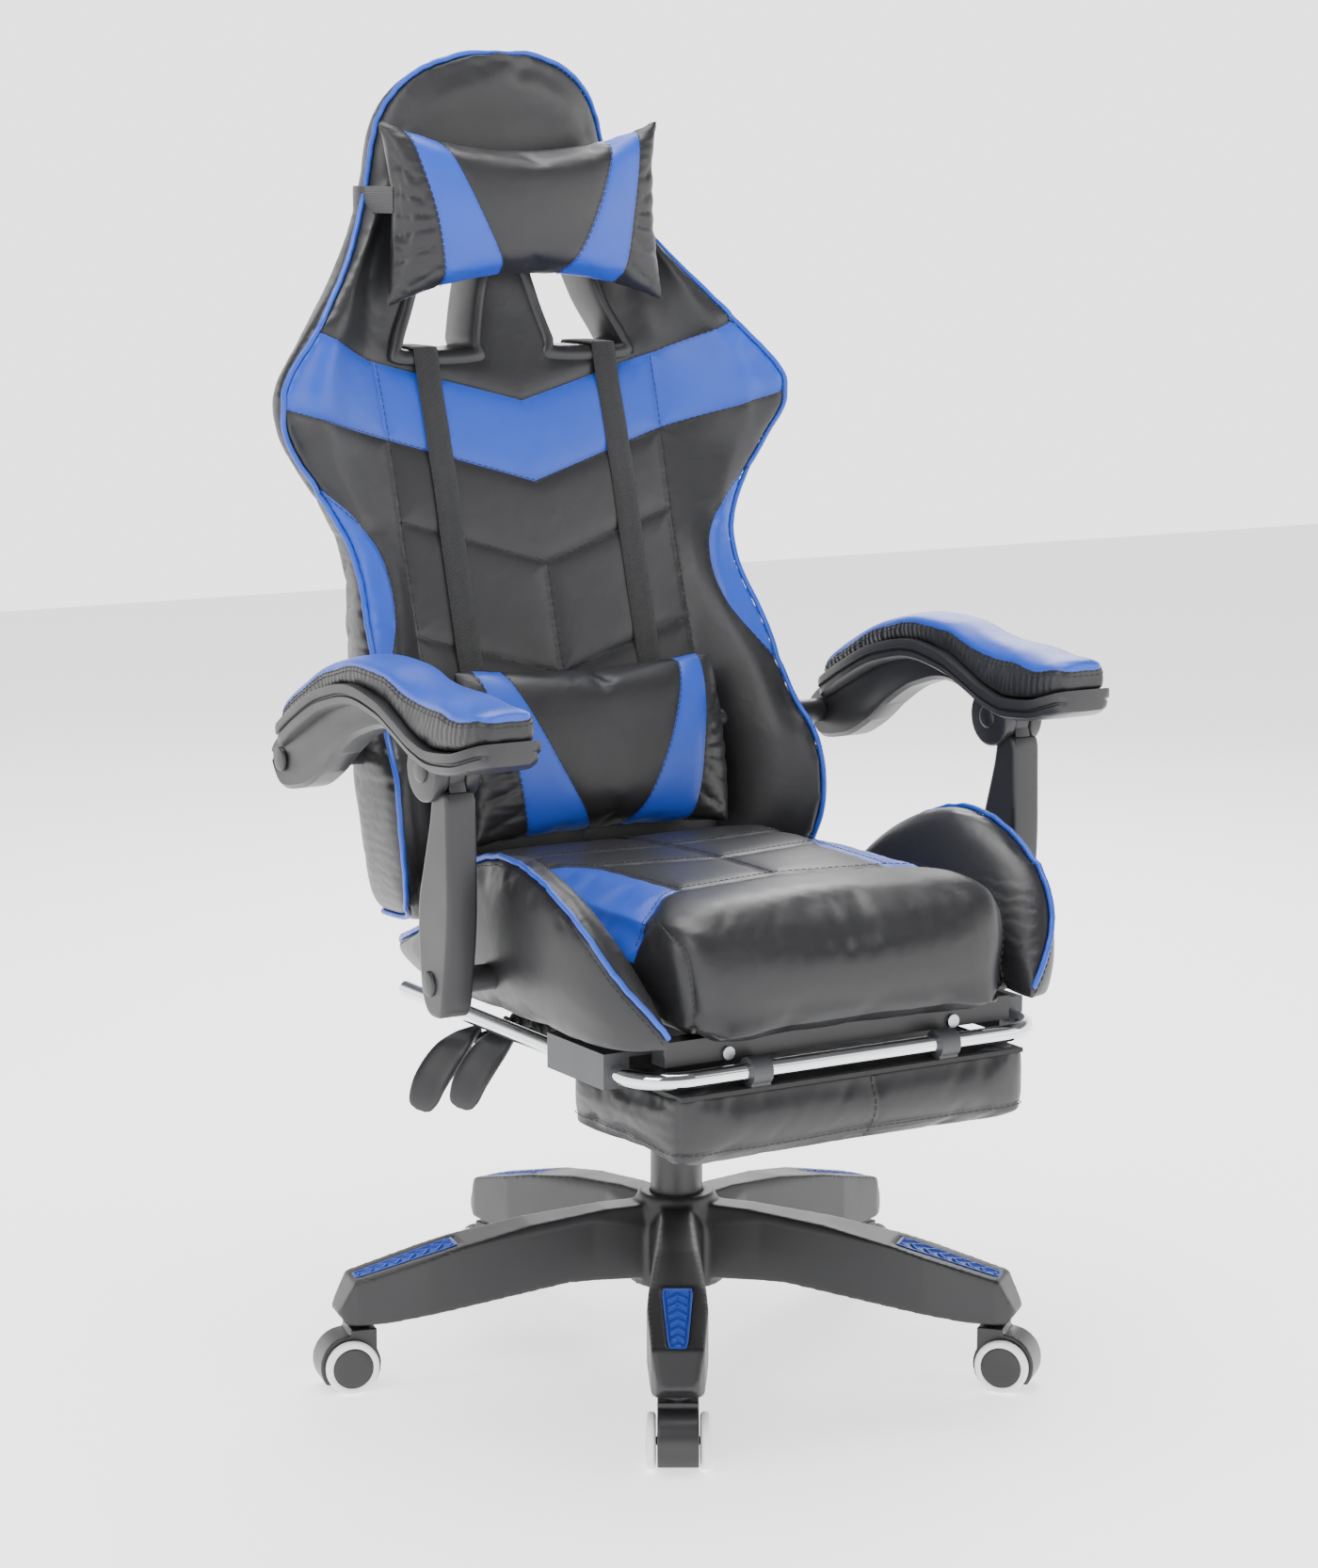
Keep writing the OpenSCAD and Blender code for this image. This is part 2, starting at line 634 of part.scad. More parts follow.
module back_cushion() {
    ts = concat([0], [for (p = face_line) if (p[0] > 0) p[0]]);
    color(black_leather) difference() {
        intersection() {
            side_view([for (t = ts) at_face(t, 0)], 0, 1);
            front_view(0, 1);
            union() {
                box(-half_panel, half_panel, 0, 2 * back_h, 0, back_z(panel_top_t));
                box(-shoulder_w, shoulder_w, 0, 2 * back_h, back_z(panel_top_t) - 0.01, 2 * back_h);
            }
        }
        both() {
            wing_taper();
            strap_hole(bezel_wall + lay_gap, 0, 2 * back_h);
            back_rail(lay_gap, frame_x0 - lay_gap, frame_x1 + cut);
            box(bracket_x0 - lay_gap, frame_x0 + lay_gap, rail_y0 - 40, rail_y(0.07) + 24,
                back_z0 - cut, back_z(0.07) + lay_gap);
        }
        for (t = cross_ts) cross_bar(t, 0.5 + lay_gap);
    }
}

// What is cut off behind a wing, so that it thins out towards its edge.
module wing_taper() {
    tilt = atan((rear_y(panel_top_t) - rear_y(0)) / (panel_top_t * back_h));
    reach = shoulder_w - half_panel;
    translate([0, rear_y(0) + 2, back_z0]) rotate([-tilt, 0, 0]) translate([0, 0, -back_h / 2])
        linear_extrude(2 * back_h) polygon([[half_panel, 0], [shoulder_w, -0.5 * reach],
            [shoulder_w, back_h], [half_panel, back_h]]);
}

module back_bolster() {
    wing_ts = [for (p = wing_line) if (p[0] < panel_top_t) p[0]];
    top_t = panel_top_t - lay_gap / back_h;
    x0 = half_panel + lay_gap;
    difference() {
        intersection() {
            side_view(concat([for (t = wing_ts) [wing_y(t), back_z(t)]], [[wing_y(top_t), back_z(top_t)]]),
                      0, top_t);
            front_view(0, top_t);
            box(x0, shoulder_w, -seat_front, 2 * back_h, 0, 2 * back_h);
        }
        wing_taper();
        box(0, half_panel + 4 + lay_gap, mount_y0 - lay_gap, mount_y1 + lay_gap,
            pivot_c[1] - 20 - lay_gap, pivot_c[1] + 20 + lay_gap);
        pin_x(pivot_c, x0 - cut, shoulder_w, mount_d + 2 * lay_gap);
        // Room for the rear corner of the seat cushion
        box(0, half_cushion + lay_gap, -seat_front, seat_rear + lay_gap, 0,
            seat_z + cushion_t + lay_gap);
    }
}
module back_bolster_l() { color(black_leather) side(1) back_bolster(); }
module back_bolster_r() { color(black_leather) side(-1) back_bolster(); }

// Bezels follow the slope of the back's two faces.
module strap_bezels() {
    ts = [0.62, 0.65, 0.71, 0.8];
    color(black_plastic) both() intersection() {
        difference() {
            strap_hole(bezel_wall, 0, 2 * back_h);
            strap_hole(0, -cut, 2 * back_h + cut);
        }
        slab_yz(concat([for (t = ts) at_face(t, -bezel_proud)],
            [for (i = [3:-1:0]) [rear_y(ts[i]) + bezel_proud, back_z(ts[i])]]), 0, shoulder_w);
    }
}

// --- Pillows and straps ---------------------------------------------------------
head_z = back_z(0.808);
head_y1 = face_y(0.9) - bezel_proud - 10;
lumbar_z = seat_z + cushion_t - 8 + lumbar_h / 2;
lumbar_y1 = face_y((lumbar_z - back_z0) / back_h) - 4;
lumbar_tilt = 12;

// A lens-shaped pillow section in (y, z), centred on the origin.
function pillow(t, h) = [for (a = [0:18:342])
    [t / 2 * sign(cos(a)) * pow(abs(cos(a)), 0.8), h / 2 * sign(sin(a)) * pow(abs(sin(a)), 0.6)]];

module head_pillow() {
    color(blue_leather) translate([0, head_y1 - head_pillow_t / 2, head_z])
        slab_yz(pillow(head_pillow_t, head_pillow_h), -head_pillow_w / 2, head_pillow_w / 2);
}

module lumbar_pillow() {
    color(blue_leather) translate([0, lumbar_y1 - lumbar_t / 2, lumbar_z]) rotate([-lumbar_tilt, 0, 0])
        slab_yz(pillow(lumbar_t, lumbar_h), -lumbar_w / 2, lumbar_w / 2);
}

// Elastic band from the pillow round the back of the head panel.
module head_strap() {
    x1 = back_half(0.805) + 1.5;
    y0 = head_y1 - head_pillow_t / 2;
    y1 = rear_y(0.8) + 4;
    in = head_pillow_w / 2 + lay_gap;
    t = webbing_t;
    color(black_plastic) translate([0, 0, head_z])
        linear_extrude(webbing_w) polygon([[-in, y0], [-x1 - t, face_y(0.8)], [-x1 - t, y1 + t],
            [x1 + t, y1 + t], [x1 + t, face_y(0.8)], [in, y0], [in, y0 + 4], [x1, face_y(0.8) + 3],
            [x1, y1], [-x1, y1], [-x1, face_y(0.8) + 3], [-in, y0 + 4]]);
}

// Webbing from the lumbar pillow up the face, through a strap hole and down behind.
strap_x = 100;
module lumbar_straps() {
    t = webbing_t;
    zb = back_z(0.65) + 0.3;
    yf = face_y(0.65) - bezel_proud - 0.5;
    yr = rear_y(0.65) + bezel_proud + 0.5;
    zl = lumbar_z + 0.46 * lumbar_h;
    yl = lumbar_y1 + 0.04 * lumbar_h;
    color(black_plastic) both()
        slab_yz([[yl - t, zl], [yf - t, zb + t], [yr + t, zb + t], [yr + t, zb - 190], [yr, zb - 190],
                 [yr, zb], [yf, zb], [yf - 1, zb - 4], [yl + 1, zl]],
                strap_x - webbing_w / 2, strap_x + webbing_w / 2);
}

// --- Armrests -------------------------------------------------------------------
strut_x0 = armrest_x - strut_w / 2;
strut_x1 = armrest_x + strut_w / 2;
mount_d = 24;
mount_y0 = pivot_c[0] - 16;
mount_y1 = 250;
cap_t = 2.5;

function rel(p, points) = [for (q = points) [p[0] + q[0], p[1] + q[1]]];

// Stepped pin: a thick boss, then the pivot and its cap.
module stepped_pin(p, x0, x1, d) {
    union() {
        pin_x(p, x0, strut_x0 - 1, mount_d);
        pin_x(p, strut_x0 - 2, x1 + 0.3 + cap_t / 2, d);
        pin_x(p, x1 + 0.3, x1 + 0.3 + cap_t, arm_cap_d);
    }
}

module arm_lower_pins() {
    color(bright_steel) both() union() {
        stepped_pin(pivot_a, half_cushion + 3, strut_x1, arm_pin_d + 2);
        pin_x(pivot_a, frame_half - 3, half_cushion + 4, arm_pin_d + 2);
    }
}

module arm_rear_mounts() {
    color(steel) both() union() {
        stepped_pin(pivot_c, half_panel + 1, strut_x1, arm_pin_d);
        slab_yz([[mount_y0, pivot_c[1] - 18], [mount_y1, pivot_c[1] - 18],
                 [mount_y1, pivot_c[1] + 18], [mount_y0, pivot_c[1] + 18]], half_panel, half_panel + 4);
    }
}

// Strut from the lower pivot to the knuckle: broad and bowed, with a slim neck.
upright_side = concat(rel(pivot_a, [[-18, -28], [6, -28], [19, -8], [22, 45], [21, 72], [8, 117]]),
    rel(pivot_b, [[-10, -30], [-12, -18], [-33, -18]]), rel(pivot_a, [[-36, 80], [-28, 4]]));

module upright() {
    difference() {
        union() {
            slab_yz(upright_side, strut_x0, strut_x1);
            pin_x(pivot_b, armrest_x - tongue_w / 2, armrest_x + tongue_w / 2, 2 * knuckle_r - 3);
            slab_yz(rel(pivot_b, [[-33, -20], [-12, -20], [-6, -10], [-26, -8]]),
                    armrest_x - tongue_w / 2, armrest_x + tongue_w / 2);
        }
        pin_x(pivot_a, strut_x0 - cut, strut_x1 + cut, arm_pin_d + 2 + 2 * run_fit);
        pin_x(pivot_b, strut_x0 - cut, strut_x1 + cut, arm_pin_d + 2 * run_fit);
        ear_space();
    }
}

// Room for the knuckle's ears at every angle of the strut.
module ear_space() {
    difference() {
        pin_x(pivot_b, strut_x0 - cut, strut_x1 + cut, 2 * knuckle_r + 1);
        pin_x(pivot_b, armrest_x - tongue_w / 2, armrest_x + tongue_w / 2, 4 * knuckle_r);
    }
}

module arm_upright_l() { color(black_plastic) side(1) upright(); }
module arm_upright_r() { color(black_plastic) side(-1) upright(); }

// Line under the arm pad, as offsets from the top of the knuckle.
pad_line = [[-124, 9], [-84, -3], [-44, -6], [-10, 0], [24, 12], [64, 25], [118, 32], [180, 21],
            [244, -5], [292, -29]];
pad_under = rel(pivot_b + [0, knuckle_r], pad_line);
arch_low = concat(rel(pivot_c, [[20, 16], [22, -4], [16, -22], [0, -28], [-60, -22], [-100, -12]]),
    rel(pivot_b, [[182, -10], [139, 12], [85, 24], [49, 18], [26, 4]]));

module link() {
    t = 5;
    difference() {
        union() {
            // Arch between the knuckle and the rear pivot
            slab_yz(concat([for (i = [2:8]) pad_under[i]], arch_low,
                rel(pivot_b, [[-20, 12]])), strut_x0, strut_x1);
            // Shelf that carries the pad
            slab_yz(concat(pad_under, [for (i = [9:-1:0]) [pad_under[i][0], pad_under[i][1] - t]]),
                    armrest_x - pad_w / 2 + 4, armrest_x + pad_w / 2 - 4);
            pin_x(pivot_b, armrest_x - knuckle_w / 2, armrest_x + knuckle_w / 2, 2 * knuckle_r);
        }
        // Slot for the strut's tongue, open below and in front
        slab_yz(rel(pivot_b, [[-60, -60], [60, -60], [60, 4], [knuckle_r + 1, 14], [10, knuckle_r - 6],
            [-10, knuckle_r - 6], [-60, 14]]),
            armrest_x - tongue_w / 2 - 0.3, armrest_x + tongue_w / 2 + 0.3);
        pin_x(pivot_b, armrest_x - tongue_w / 2 - 0.3, armrest_x + tongue_w / 2 + 0.3, 2 * knuckle_r);
        pin_x(pivot_b, 0, 2 * armrest_x, arm_pin_d + 2 * run_fit);
        pin_x(pivot_c, 0, 2 * armrest_x, arm_pin_d + 2 * open_fit);
    }
}
module arm_link_l() { color(black_plastic) side(1) link(); }
module arm_link_r() { color(black_plastic) side(-1) link(); }

module front_pin() {
    x0 = armrest_x - knuckle_w / 2;
    x1 = armrest_x + knuckle_w / 2;
    union() {
        pin_x(pivot_b, x0 - cap_t / 2, x1 + cap_t / 2, arm_pin_d);
        pin_x(pivot_b, x0 - cap_t - 0.1, x0 - 0.1, arm_cap_d);
        pin_x(pivot_b, x1 + 0.1, x1 + cap_t + 0.1, arm_cap_d);
    }
}
module arm_front_pin_l() { color(bright_steel) side(1) front_pin(); }
module arm_front_pin_r() { color(bright_steel) side(-1) front_pin(); }

module arm_pad() {
    rise = [pad_t - 14, pad_t, pad_t + 14, pad_t + 8, pad_t + 2, pad_t - 2, pad_t - 6, pad_t - 6, pad_t - 6,
            pad_t - 12];
    intersection() {
        slab_yz(concat([for (p = pad_under) [p[0], p[1] + lay_gap]],
            [for (i = [9:-1:0]) [pad_under[i][0], pad_under[i][1] + rise[i]]]),
            armrest_x - pad_w, armrest_x + pad_w);
        translate([armrest_x, 0, pivot_b[1] - 40]) linear_extrude(200)
            polygon([for (p = mirrored([[pad_w / 2 - 12, pad_under[0][0]],
                [pad_w / 2 - 3, pad_under[0][0] + 14], [pad_w / 2, pad_under[0][0] + 45],
                [pad_w / 2 - 4, pivot_b[0] + 60], [pad_w / 2 - 8, pivot_b[0] + 220],
                [pad_w / 2 - 14, pad_under[9][0]]])) p]);
    }
}
module arm_pad_l() { color(blue_leather) side(1) arm_pad(); }
module arm_pad_r() { color(blue_leather) side(-1) arm_pad(); }

// --- Footrest -------------------------------------------------------------------
rail_z = seat_z - 31;
bar_y = -(seat_front - 16);
rail_bend = 45;
guide_len = 100;
guide_y0 = bar_y + rail_bend + 6;
rail_rear = guide_y0 + guide_len + slide_travel - 1;

module footrest_frame() {
    color("#d8dade") union() {
        both() {
            translate([rail_x, bar_y + rail_bend, rail_z]) rotate([-90, 0, 0])
                cylinder(h = rail_rear - bar_y - rail_bend, d = rail_d);
            translate([rail_x - rail_bend, bar_y + rail_bend, rail_z]) rotate([0, 0, -90])
                rotate_extrude(angle = 90) translate([rail_bend, 0]) circle(d = rail_d);
        }
        translate([-rail_x + rail_bend, bar_y, rail_z]) rotate([0, 90, 0])
            cylinder(h = 2 * (rail_x - rail_bend), d = rail_d);
    }
}

module footrest_guides() {
    wall = 5;
    r = rail_d / 2 + wall;
    color("#6a6a6c") both() difference() {
        union() {
            box(rail_x - r, rail_x + r, guide_y0, guide_y0 + guide_len, rail_z - r, mech_top);
            box(frame_half - frame_tube_w + 2, rail_x, guide_y0, guide_y0 + guide_len, mech_top - 5, mech_top);
        }
        translate([rail_x, guide_y0 - cut, rail_z]) rotate([-90, 0, 0])
            cylinder(h = guide_len + 2 * cut, d = rail_d + 2 * run_fit);
    }
}

clip_r = rail_d / 2 + 5;
board_z1 = rail_z - clip_r;
board_t = 4;
clip_xs = [[-110, -90], [90, 110]];

module footrest_clips() {
    color(black_plastic) for (c = clip_xs) difference() {
        union() {
            translate([c[0], bar_y, rail_z]) rotate([0, 90, 0]) cylinder(h = c[1] - c[0], r = clip_r);
            box(c[0], c[1], bar_y - 8, bar_y + 32, board_z1, board_z1 + 3.5);
        }
        translate([c[0] - cut, bar_y, rail_z]) rotate([0, 90, 0])
            cylinder(h = c[1] - c[0] + 2 * cut, d = rail_d + 2 * run_fit);
    }
}

foot_y0 = bar_y - 15;
module footrest_board() {
    color("#2a2a2a") box(-foot_pad_w / 2 + 6, foot_pad_w / 2 - 6, foot_y0 + 6, foot_y0 + foot_pad_d - 6,
        board_z1 - board_t, board_z1);
}

module footrest_pad() {
    z1 = board_z1 - board_t - lay_gap / 2;
    z0 = z1 - foot_pad_t;
    color(black_leather) intersection() {
        slab_yz([[foot_y0, z1], [foot_y0, z0 + 10], [foot_y0 + 6, z0], [foot_y0 + foot_pad_d - 10, z0],
                 [foot_y0 + foot_pad_d, z0 + 12], [foot_y0 + foot_pad_d, z1]],
                -foot_pad_w / 2, foot_pad_w / 2);
        translate([0, 0, z0]) linear_extrude(foot_pad_t + cut)
            polygon(mirrored([[foot_pad_w / 2 - 8, foot_y0], [foot_pad_w / 2, foot_y0 + 10],
                [foot_pad_w / 2, foot_y0 + foot_pad_d - 10],
                [foot_pad_w / 2 - 8, foot_y0 + foot_pad_d]]));
    }
}

// --- Levers ---------------------------------------------------------------------
lift_y = 0;
recline_y = lift_y + lever_pitch;
lever_pivot = [-52, mech_bottom + 20];
rod_end = [-178, mech_bottom + 2];

// Opening in the mechanism's side, with room for the lever's swing.
module lever_slot(y) {
    r = lever_rod_d / 2;
    box(-mech_x - 5, lever_pivot[0] + 8, y - r - 3, y + r + 3, lever_pivot[1] - 14, lever_pivot[1] + 14);
}

module rod_between(a, b, d) {
    len_ab = norm(b - a);
    tilt = atan2(b[0] - a[0], b[1] - a[1]);
    translate([a[0], 0, a[1]]) rotate([0, tilt, 0]) cylinder(h = len_ab, d = d);
}

// Paddle in front view (x, z): a drooping blade with a round end.
function paddle(o) = [for (p = [[6, 6], [2, 14], [-22, 6], [-50, -22], [-62, -42], [-60, -54],
    [-48, -62], [-36, -58], [-16, -28]]) o + p];

module lever(y, o) {
    union() {
        translate([0, y, 0]) rod_between(lever_pivot, rod_end + o + [-8, 0], lever_rod_d);
        translate([0, y + paddle_w / 2, 0]) rotate([90, 0, 0]) linear_extrude(paddle_w)
            polygon(paddle(rod_end + o));
        translate([lever_pivot[0], y, lever_pivot[1]]) rotate([90, 0, 0])
            cylinder(h = lever_rod_d + 2, d = lever_rod_d + 3, center = true);
    }
}
lift_o = [0, 2];
recline_o = [-14, -10];
module lift_lever() { color(black_plastic) lever(lift_y, lift_o); }
module recline_lever() { color(black_plastic) lever(recline_y, recline_o); }

// Ribbed rubber sleeve on a lever's rod.
module bellows(y, o) {
    a = lever_pivot;
    b = rod_end + o + [-8, 0];
    n = 6;
    pitch = 8;
    tilt = atan2(b[0] - a[0], b[1] - a[1]);
    start = norm(b - a) - n * pitch - 28;
    r = lever_rod_d / 2;
    profile = concat([[r + 0.1, 0]], [for (i = [0:n - 1]) each [[r + 3, i * pitch], [r + 6.5, (i + 0.5) * pitch]]],
        [[r + 3, n * pitch], [r + 0.1, n * pitch]]);
    translate([a[0], y, a[1]]) rotate([0, tilt, 0]) translate([0, 0, start])
        rotate_extrude($fn = 32) polygon(profile);
}
module lift_bellows() { color("#202022") bellows(lift_y, lift_o); }
module recline_bellows() { color("#202022") bellows(recline_y, recline_o); }

star_base();
base_inlays();
column_outer();
guide_bush();
piston_rod();
thrust_bearing();
retaining_clip();
column_inner();
mechanism_housing();
frame_bolts();
seat_frame();
seat_cushion();
seat_bolster_l();
seat_bolster_r();
hinge_plates();
hinge_pins();
arm_lower_pins();
footrest_guides();
lift_lever();
lift_bellows();
recline_lever();
recline_bellows();
back_frame();
back_brackets();
back_cushion();
back_bolster_l();
back_bolster_r();
strap_bezels();
head_pillow();
head_strap();
lumbar_pillow();
lumbar_straps();
arm_rear_mounts();
arm_upright_l();
arm_upright_r();
arm_link_l();
arm_link_r();
arm_pad_l();
arm_pad_r();
arm_front_pin_l();
arm_front_pin_r();
footrest_frame();
footrest_board();
footrest_clips();
footrest_pad();
for (i = [1:5]) {
    caster(i - 1);
    caster_wheel(i - 1, 1);
    caster_wheel(i - 1, -1);
}
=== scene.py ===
"""Gaming chair: covers, pillows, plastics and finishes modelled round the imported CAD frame.

Shapes are worked out in millimetres and become metres in mesh_object, in the frame of the CAD: the
sitter faces -Y, +X is the sitter's left and Z is up from the floor. Angles are in degrees.
"""
import json
import math

import bmesh
import bpy
import numpy as np
from bpy.props import FloatProperty, FloatVectorProperty, PointerProperty
from mathutils import Matrix, Vector
from mathutils.bvhtree import BVHTree
from mathutils.kdtree import KDTree


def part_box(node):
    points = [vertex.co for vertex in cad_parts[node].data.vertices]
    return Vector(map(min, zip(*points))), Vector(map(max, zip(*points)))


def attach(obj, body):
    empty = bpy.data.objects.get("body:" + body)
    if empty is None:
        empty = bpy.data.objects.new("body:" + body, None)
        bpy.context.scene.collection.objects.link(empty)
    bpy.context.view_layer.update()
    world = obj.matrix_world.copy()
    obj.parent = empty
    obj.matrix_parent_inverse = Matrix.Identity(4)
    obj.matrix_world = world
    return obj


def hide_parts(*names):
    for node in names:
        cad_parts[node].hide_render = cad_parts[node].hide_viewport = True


bl_info = {
    "name": "Gaming chair",
    "version": (1, 0, 0),
    "blender": (4, 5, 0),
    "location": "View3D > Sidebar > Chair",
    "description": "Builds the soft goods, plastics and finishes of a gaming chair round its frame",
    "category": "Object",
}

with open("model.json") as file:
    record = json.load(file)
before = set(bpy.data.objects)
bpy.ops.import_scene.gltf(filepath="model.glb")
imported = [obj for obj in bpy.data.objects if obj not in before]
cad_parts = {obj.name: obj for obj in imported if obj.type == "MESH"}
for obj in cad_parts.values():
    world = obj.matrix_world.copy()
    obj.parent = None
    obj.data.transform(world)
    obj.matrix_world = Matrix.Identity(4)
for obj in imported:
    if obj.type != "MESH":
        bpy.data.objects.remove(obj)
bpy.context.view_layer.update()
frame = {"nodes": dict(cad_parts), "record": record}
NODES = frame["nodes"]
MM = 0.001  # metres
TINY = 1e-9  # keeps a division by a length off zero
LEATHER = "coated leather, black, embossed"
LEATHER_BLUE = "coated leather, blue, embossed"
LEATHER_GATHERED = "coated leather, black, gathered"
LEATHER_SHIRRED = "coated leather, black, shirred"
CORD = "coated leather, blue, piped"
THREAD = "polyester thread, black"
WEBBING = "polyester webbing, woven"
SATIN = "ABS, moulded satin"
BLACK = "polypropylene, moulded black"
RUBBER = "rubber, moulded matt"
POWDER_COAT = "steel, powder coated black"


def linear(hex_code):
    """Linear colour of an sRGB hex value."""
    parts = [int(hex_code[i : i + 2], 16) / 255 for i in (0, 2, 4)]
    return tuple(c / 12.92 if c <= 0.04045 else ((c + 0.055) / 1.055) ** 2.4 for c in parts)


def low(node):
    """Lowest corner of a CAD node, in millimetres."""
    return np.array(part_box(node)[0]) / MM


def high(node):
    """Highest corner of a CAD node, in millimetres."""
    return np.array(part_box(node)[1]) / MM


# ---------------------------------------------------------------------------------------
# Settings


def length(name, description, millimetres, least):
    """A length that a user may change."""
    return FloatProperty(
        name=name, description=description, default=millimetres * MM, min=least * MM, unit="LENGTH"
    )


def colour(name, description, hex_code):
    """A colour that a user may change."""
    return FloatVectorProperty(
        name=name, description=description, default=linear(hex_code), size=3, subtype="COLOR"
    )


class ChairColours(bpy.types.PropertyGroup):
    cover: colour("Cover", "Main colour of the coated leather", "1f1f21")
    accent: colour("Accent", "Accent colour of the coated leather and the inlays", "2049b4")
    plastic: colour("Plastic", "Moulded nylon of the base and the armrests", "202022")
    tread: colour("Wheel rims", "Soft rims of the caster wheels", "f1f1f1")
    webbing: colour("Webbing", "Woven straps", "1c1c1d")


class ChairSizes(bpy.types.PropertyGroup):
    piping: length("Piping", "Diameter of the piping round the cushions", 5.4, 2)
    stitch: length("Stitch", "Length of one stitch", 4.6, 2)
    thread: length("Thread", "Diameter of the sewing thread, drawn coarse enough to show", 0.8, 0.3)
    grain: length("Grain", "Width of one pebble of the leather's embossed grain", 1.7, 0.5)
    crown: length("Crown", "How far the simulated padding may swell", 8, 2)
    floor: length("Floor", "Half the width of the floor", 6000, 1000)


def chair():
    """The chair's settings in this scene."""
    return bpy.context.scene.chair_sizes, bpy.context.scene.chair_colours


# ---------------------------------------------------------------------------------------
# Curves and meshes


def smooth(table, places):
    """Values of a table of (place, value) rows at the places, on a curve with no overshoot."""
    table = np.array(table, float)
    x, y = table[:, 0], table[:, 1]
    h = np.diff(x)
    slope = np.diff(y) / h
    tangent = np.zeros_like(y)
    tangent[0], tangent[-1] = slope[0], slope[-1]
    for i in range(1, len(x) - 1):
        if slope[i - 1] * slope[i] > 0:
            tangent[i] = 2 * slope[i - 1] * slope[i] / (slope[i - 1] + slope[i])
    places = np.clip(np.asarray(places, float), x[0], x[-1])
    i = np.clip(np.searchsorted(x, places) - 1, 0, len(h) - 1)
    s = (places - x[i]) / h[i]
    return (
        (1 + 2 * s) * (1 - s) ** 2 * y[i]
        + s * (1 - s) ** 2 * h[i] * tangent[i]
        + s * s * (3 - 2 * s) * y[i + 1]
        + s * s * (s - 1) * h[i] * tangent[i + 1]
    )


def resample(points, count=None, closed=False, spacing=None, rounded=True):
    """Points evenly spaced along a curve through the given ones."""
    points = np.array(points, float)
    if closed:
        points = np.vstack([points, points[:1]])
    if rounded and len(points) > 2:
        before = points[-2] if closed else 2 * points[0] - points[1]
        after = points[1] if closed else 2 * points[-1] - points[-2]
        p = np.vstack([before, points, after])
        dense = []
        for i in range(1, len(p) - 2):
            for s in np.linspace(0, 1, 16, endpoint=False):
                dense.append(
                    0.5
                    * (
                        2 * p[i]
                        + (p[i + 1] - p[i - 1]) * s
                        + (2 * p[i - 1] - 5 * p[i] + 4 * p[i + 1] - p[i + 2]) * s**2
                        + (3 * p[i] - p[i - 1] - 3 * p[i + 1] + p[i + 2]) * s**3
                    )
                )
        points = np.vstack([dense, p[-2]])
    gone = np.concatenate([[0], np.cumsum(np.linalg.norm(np.diff(points, axis=0), axis=1))])
    if count is None:
        count = max(2, int(round(gone[-1] / spacing)) + 1)
    at = np.linspace(0, gone[-1], count + 1 if closed else count)
    out = np.stack([np.interp(at, gone, points[:, k]) for k in range(points.shape[1])], axis=1)
    return out[:-1] if closed else out


def mesh_object(name, points, faces, *finishes):
    """A new mesh object from points in millimetres."""
    mesh = bpy.data.meshes.new(name)
    mesh.from_pydata([tuple(np.array(p) * MM) for p in points], [], [tuple(f) for f in faces])
    made = bpy.data.objects.new(name, mesh)
    bpy.context.collection.objects.link(made)
    for finish in finishes:
        mesh.materials.append(bpy.data.materials[finish])
    return made


def loft(rings, caps=True, closed=True):
    """Points and faces of a skin over rings of equally many points."""
    rings = np.array(rings, float)
    n, m = rings.shape[:2]
    faces = []
    for i in range(n - 1):
        for j in range(m if closed else m - 1):
            k = (j + 1) % m
            faces.append((i * m + j, i * m + k, (i + 1) * m + k, (i + 1) * m + j))
    if caps:
        faces.append(tuple(range(m))[::-1])
        faces.append(tuple((n - 1) * m + j for j in range(m)))
    return rings.reshape(-1, 3), faces


def tube(path, radius, sides):
    """Points and faces of a round bar along a path."""
    path = np.array(path, float)
    tangent = np.gradient(path, axis=0)
    tangent /= np.maximum(np.linalg.norm(tangent, axis=1, keepdims=True), TINY)
    up = np.array([0.0, 0.0, 1.0]) if abs(tangent[0][2]) < 0.9 else np.array([1.0, 0.0, 0.0])
    rings = []
    for p, t in zip(path, tangent):
        side = np.cross(t, up)
        side /= max(np.linalg.norm(side), TINY)
        up = np.cross(side, t)
        turn = np.linspace(0, 2 * math.pi, sides, endpoint=False)
        rings.append([p + radius * (math.cos(a) * side + math.sin(a) * up) for a in turn])
    return loft(rings)


def merged(*parts):
    """Several (points, faces) pairs as one."""
    points, faces, start = [], [], 0
    for some_points, some_faces in parts:
        points.append(np.array(some_points, float))
        faces += [tuple(v + start for v in f) for f in some_faces]
        start += len(some_points)
    return np.vstack(points), faces


def mirrored(part):
    """A (points, faces) pair mirrored to the other side of the chair."""
    points, faces = part
    return np.array(points) * [-1, 1, 1], [tuple(f)[::-1] for f in faces]


def shade(piece, angle=None):
    """Smooth shading, with edges kept sharp past an angle in degrees."""
    piece.data.polygons.foreach_set("use_smooth", [True] * len(piece.data.polygons))
    if angle:
        piece.data.set_sharp_from_angle(angle=math.radians(angle))
    piece.data.update()
    return piece


def settle(piece, body, nodes=(), angle=None):
    """Shades a piece, hangs it on the body it rides on and hides the CAD nodes it stands for."""
    shade(piece, angle)
    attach(piece, body)
    if nodes:
        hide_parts(*nodes)
    return piece


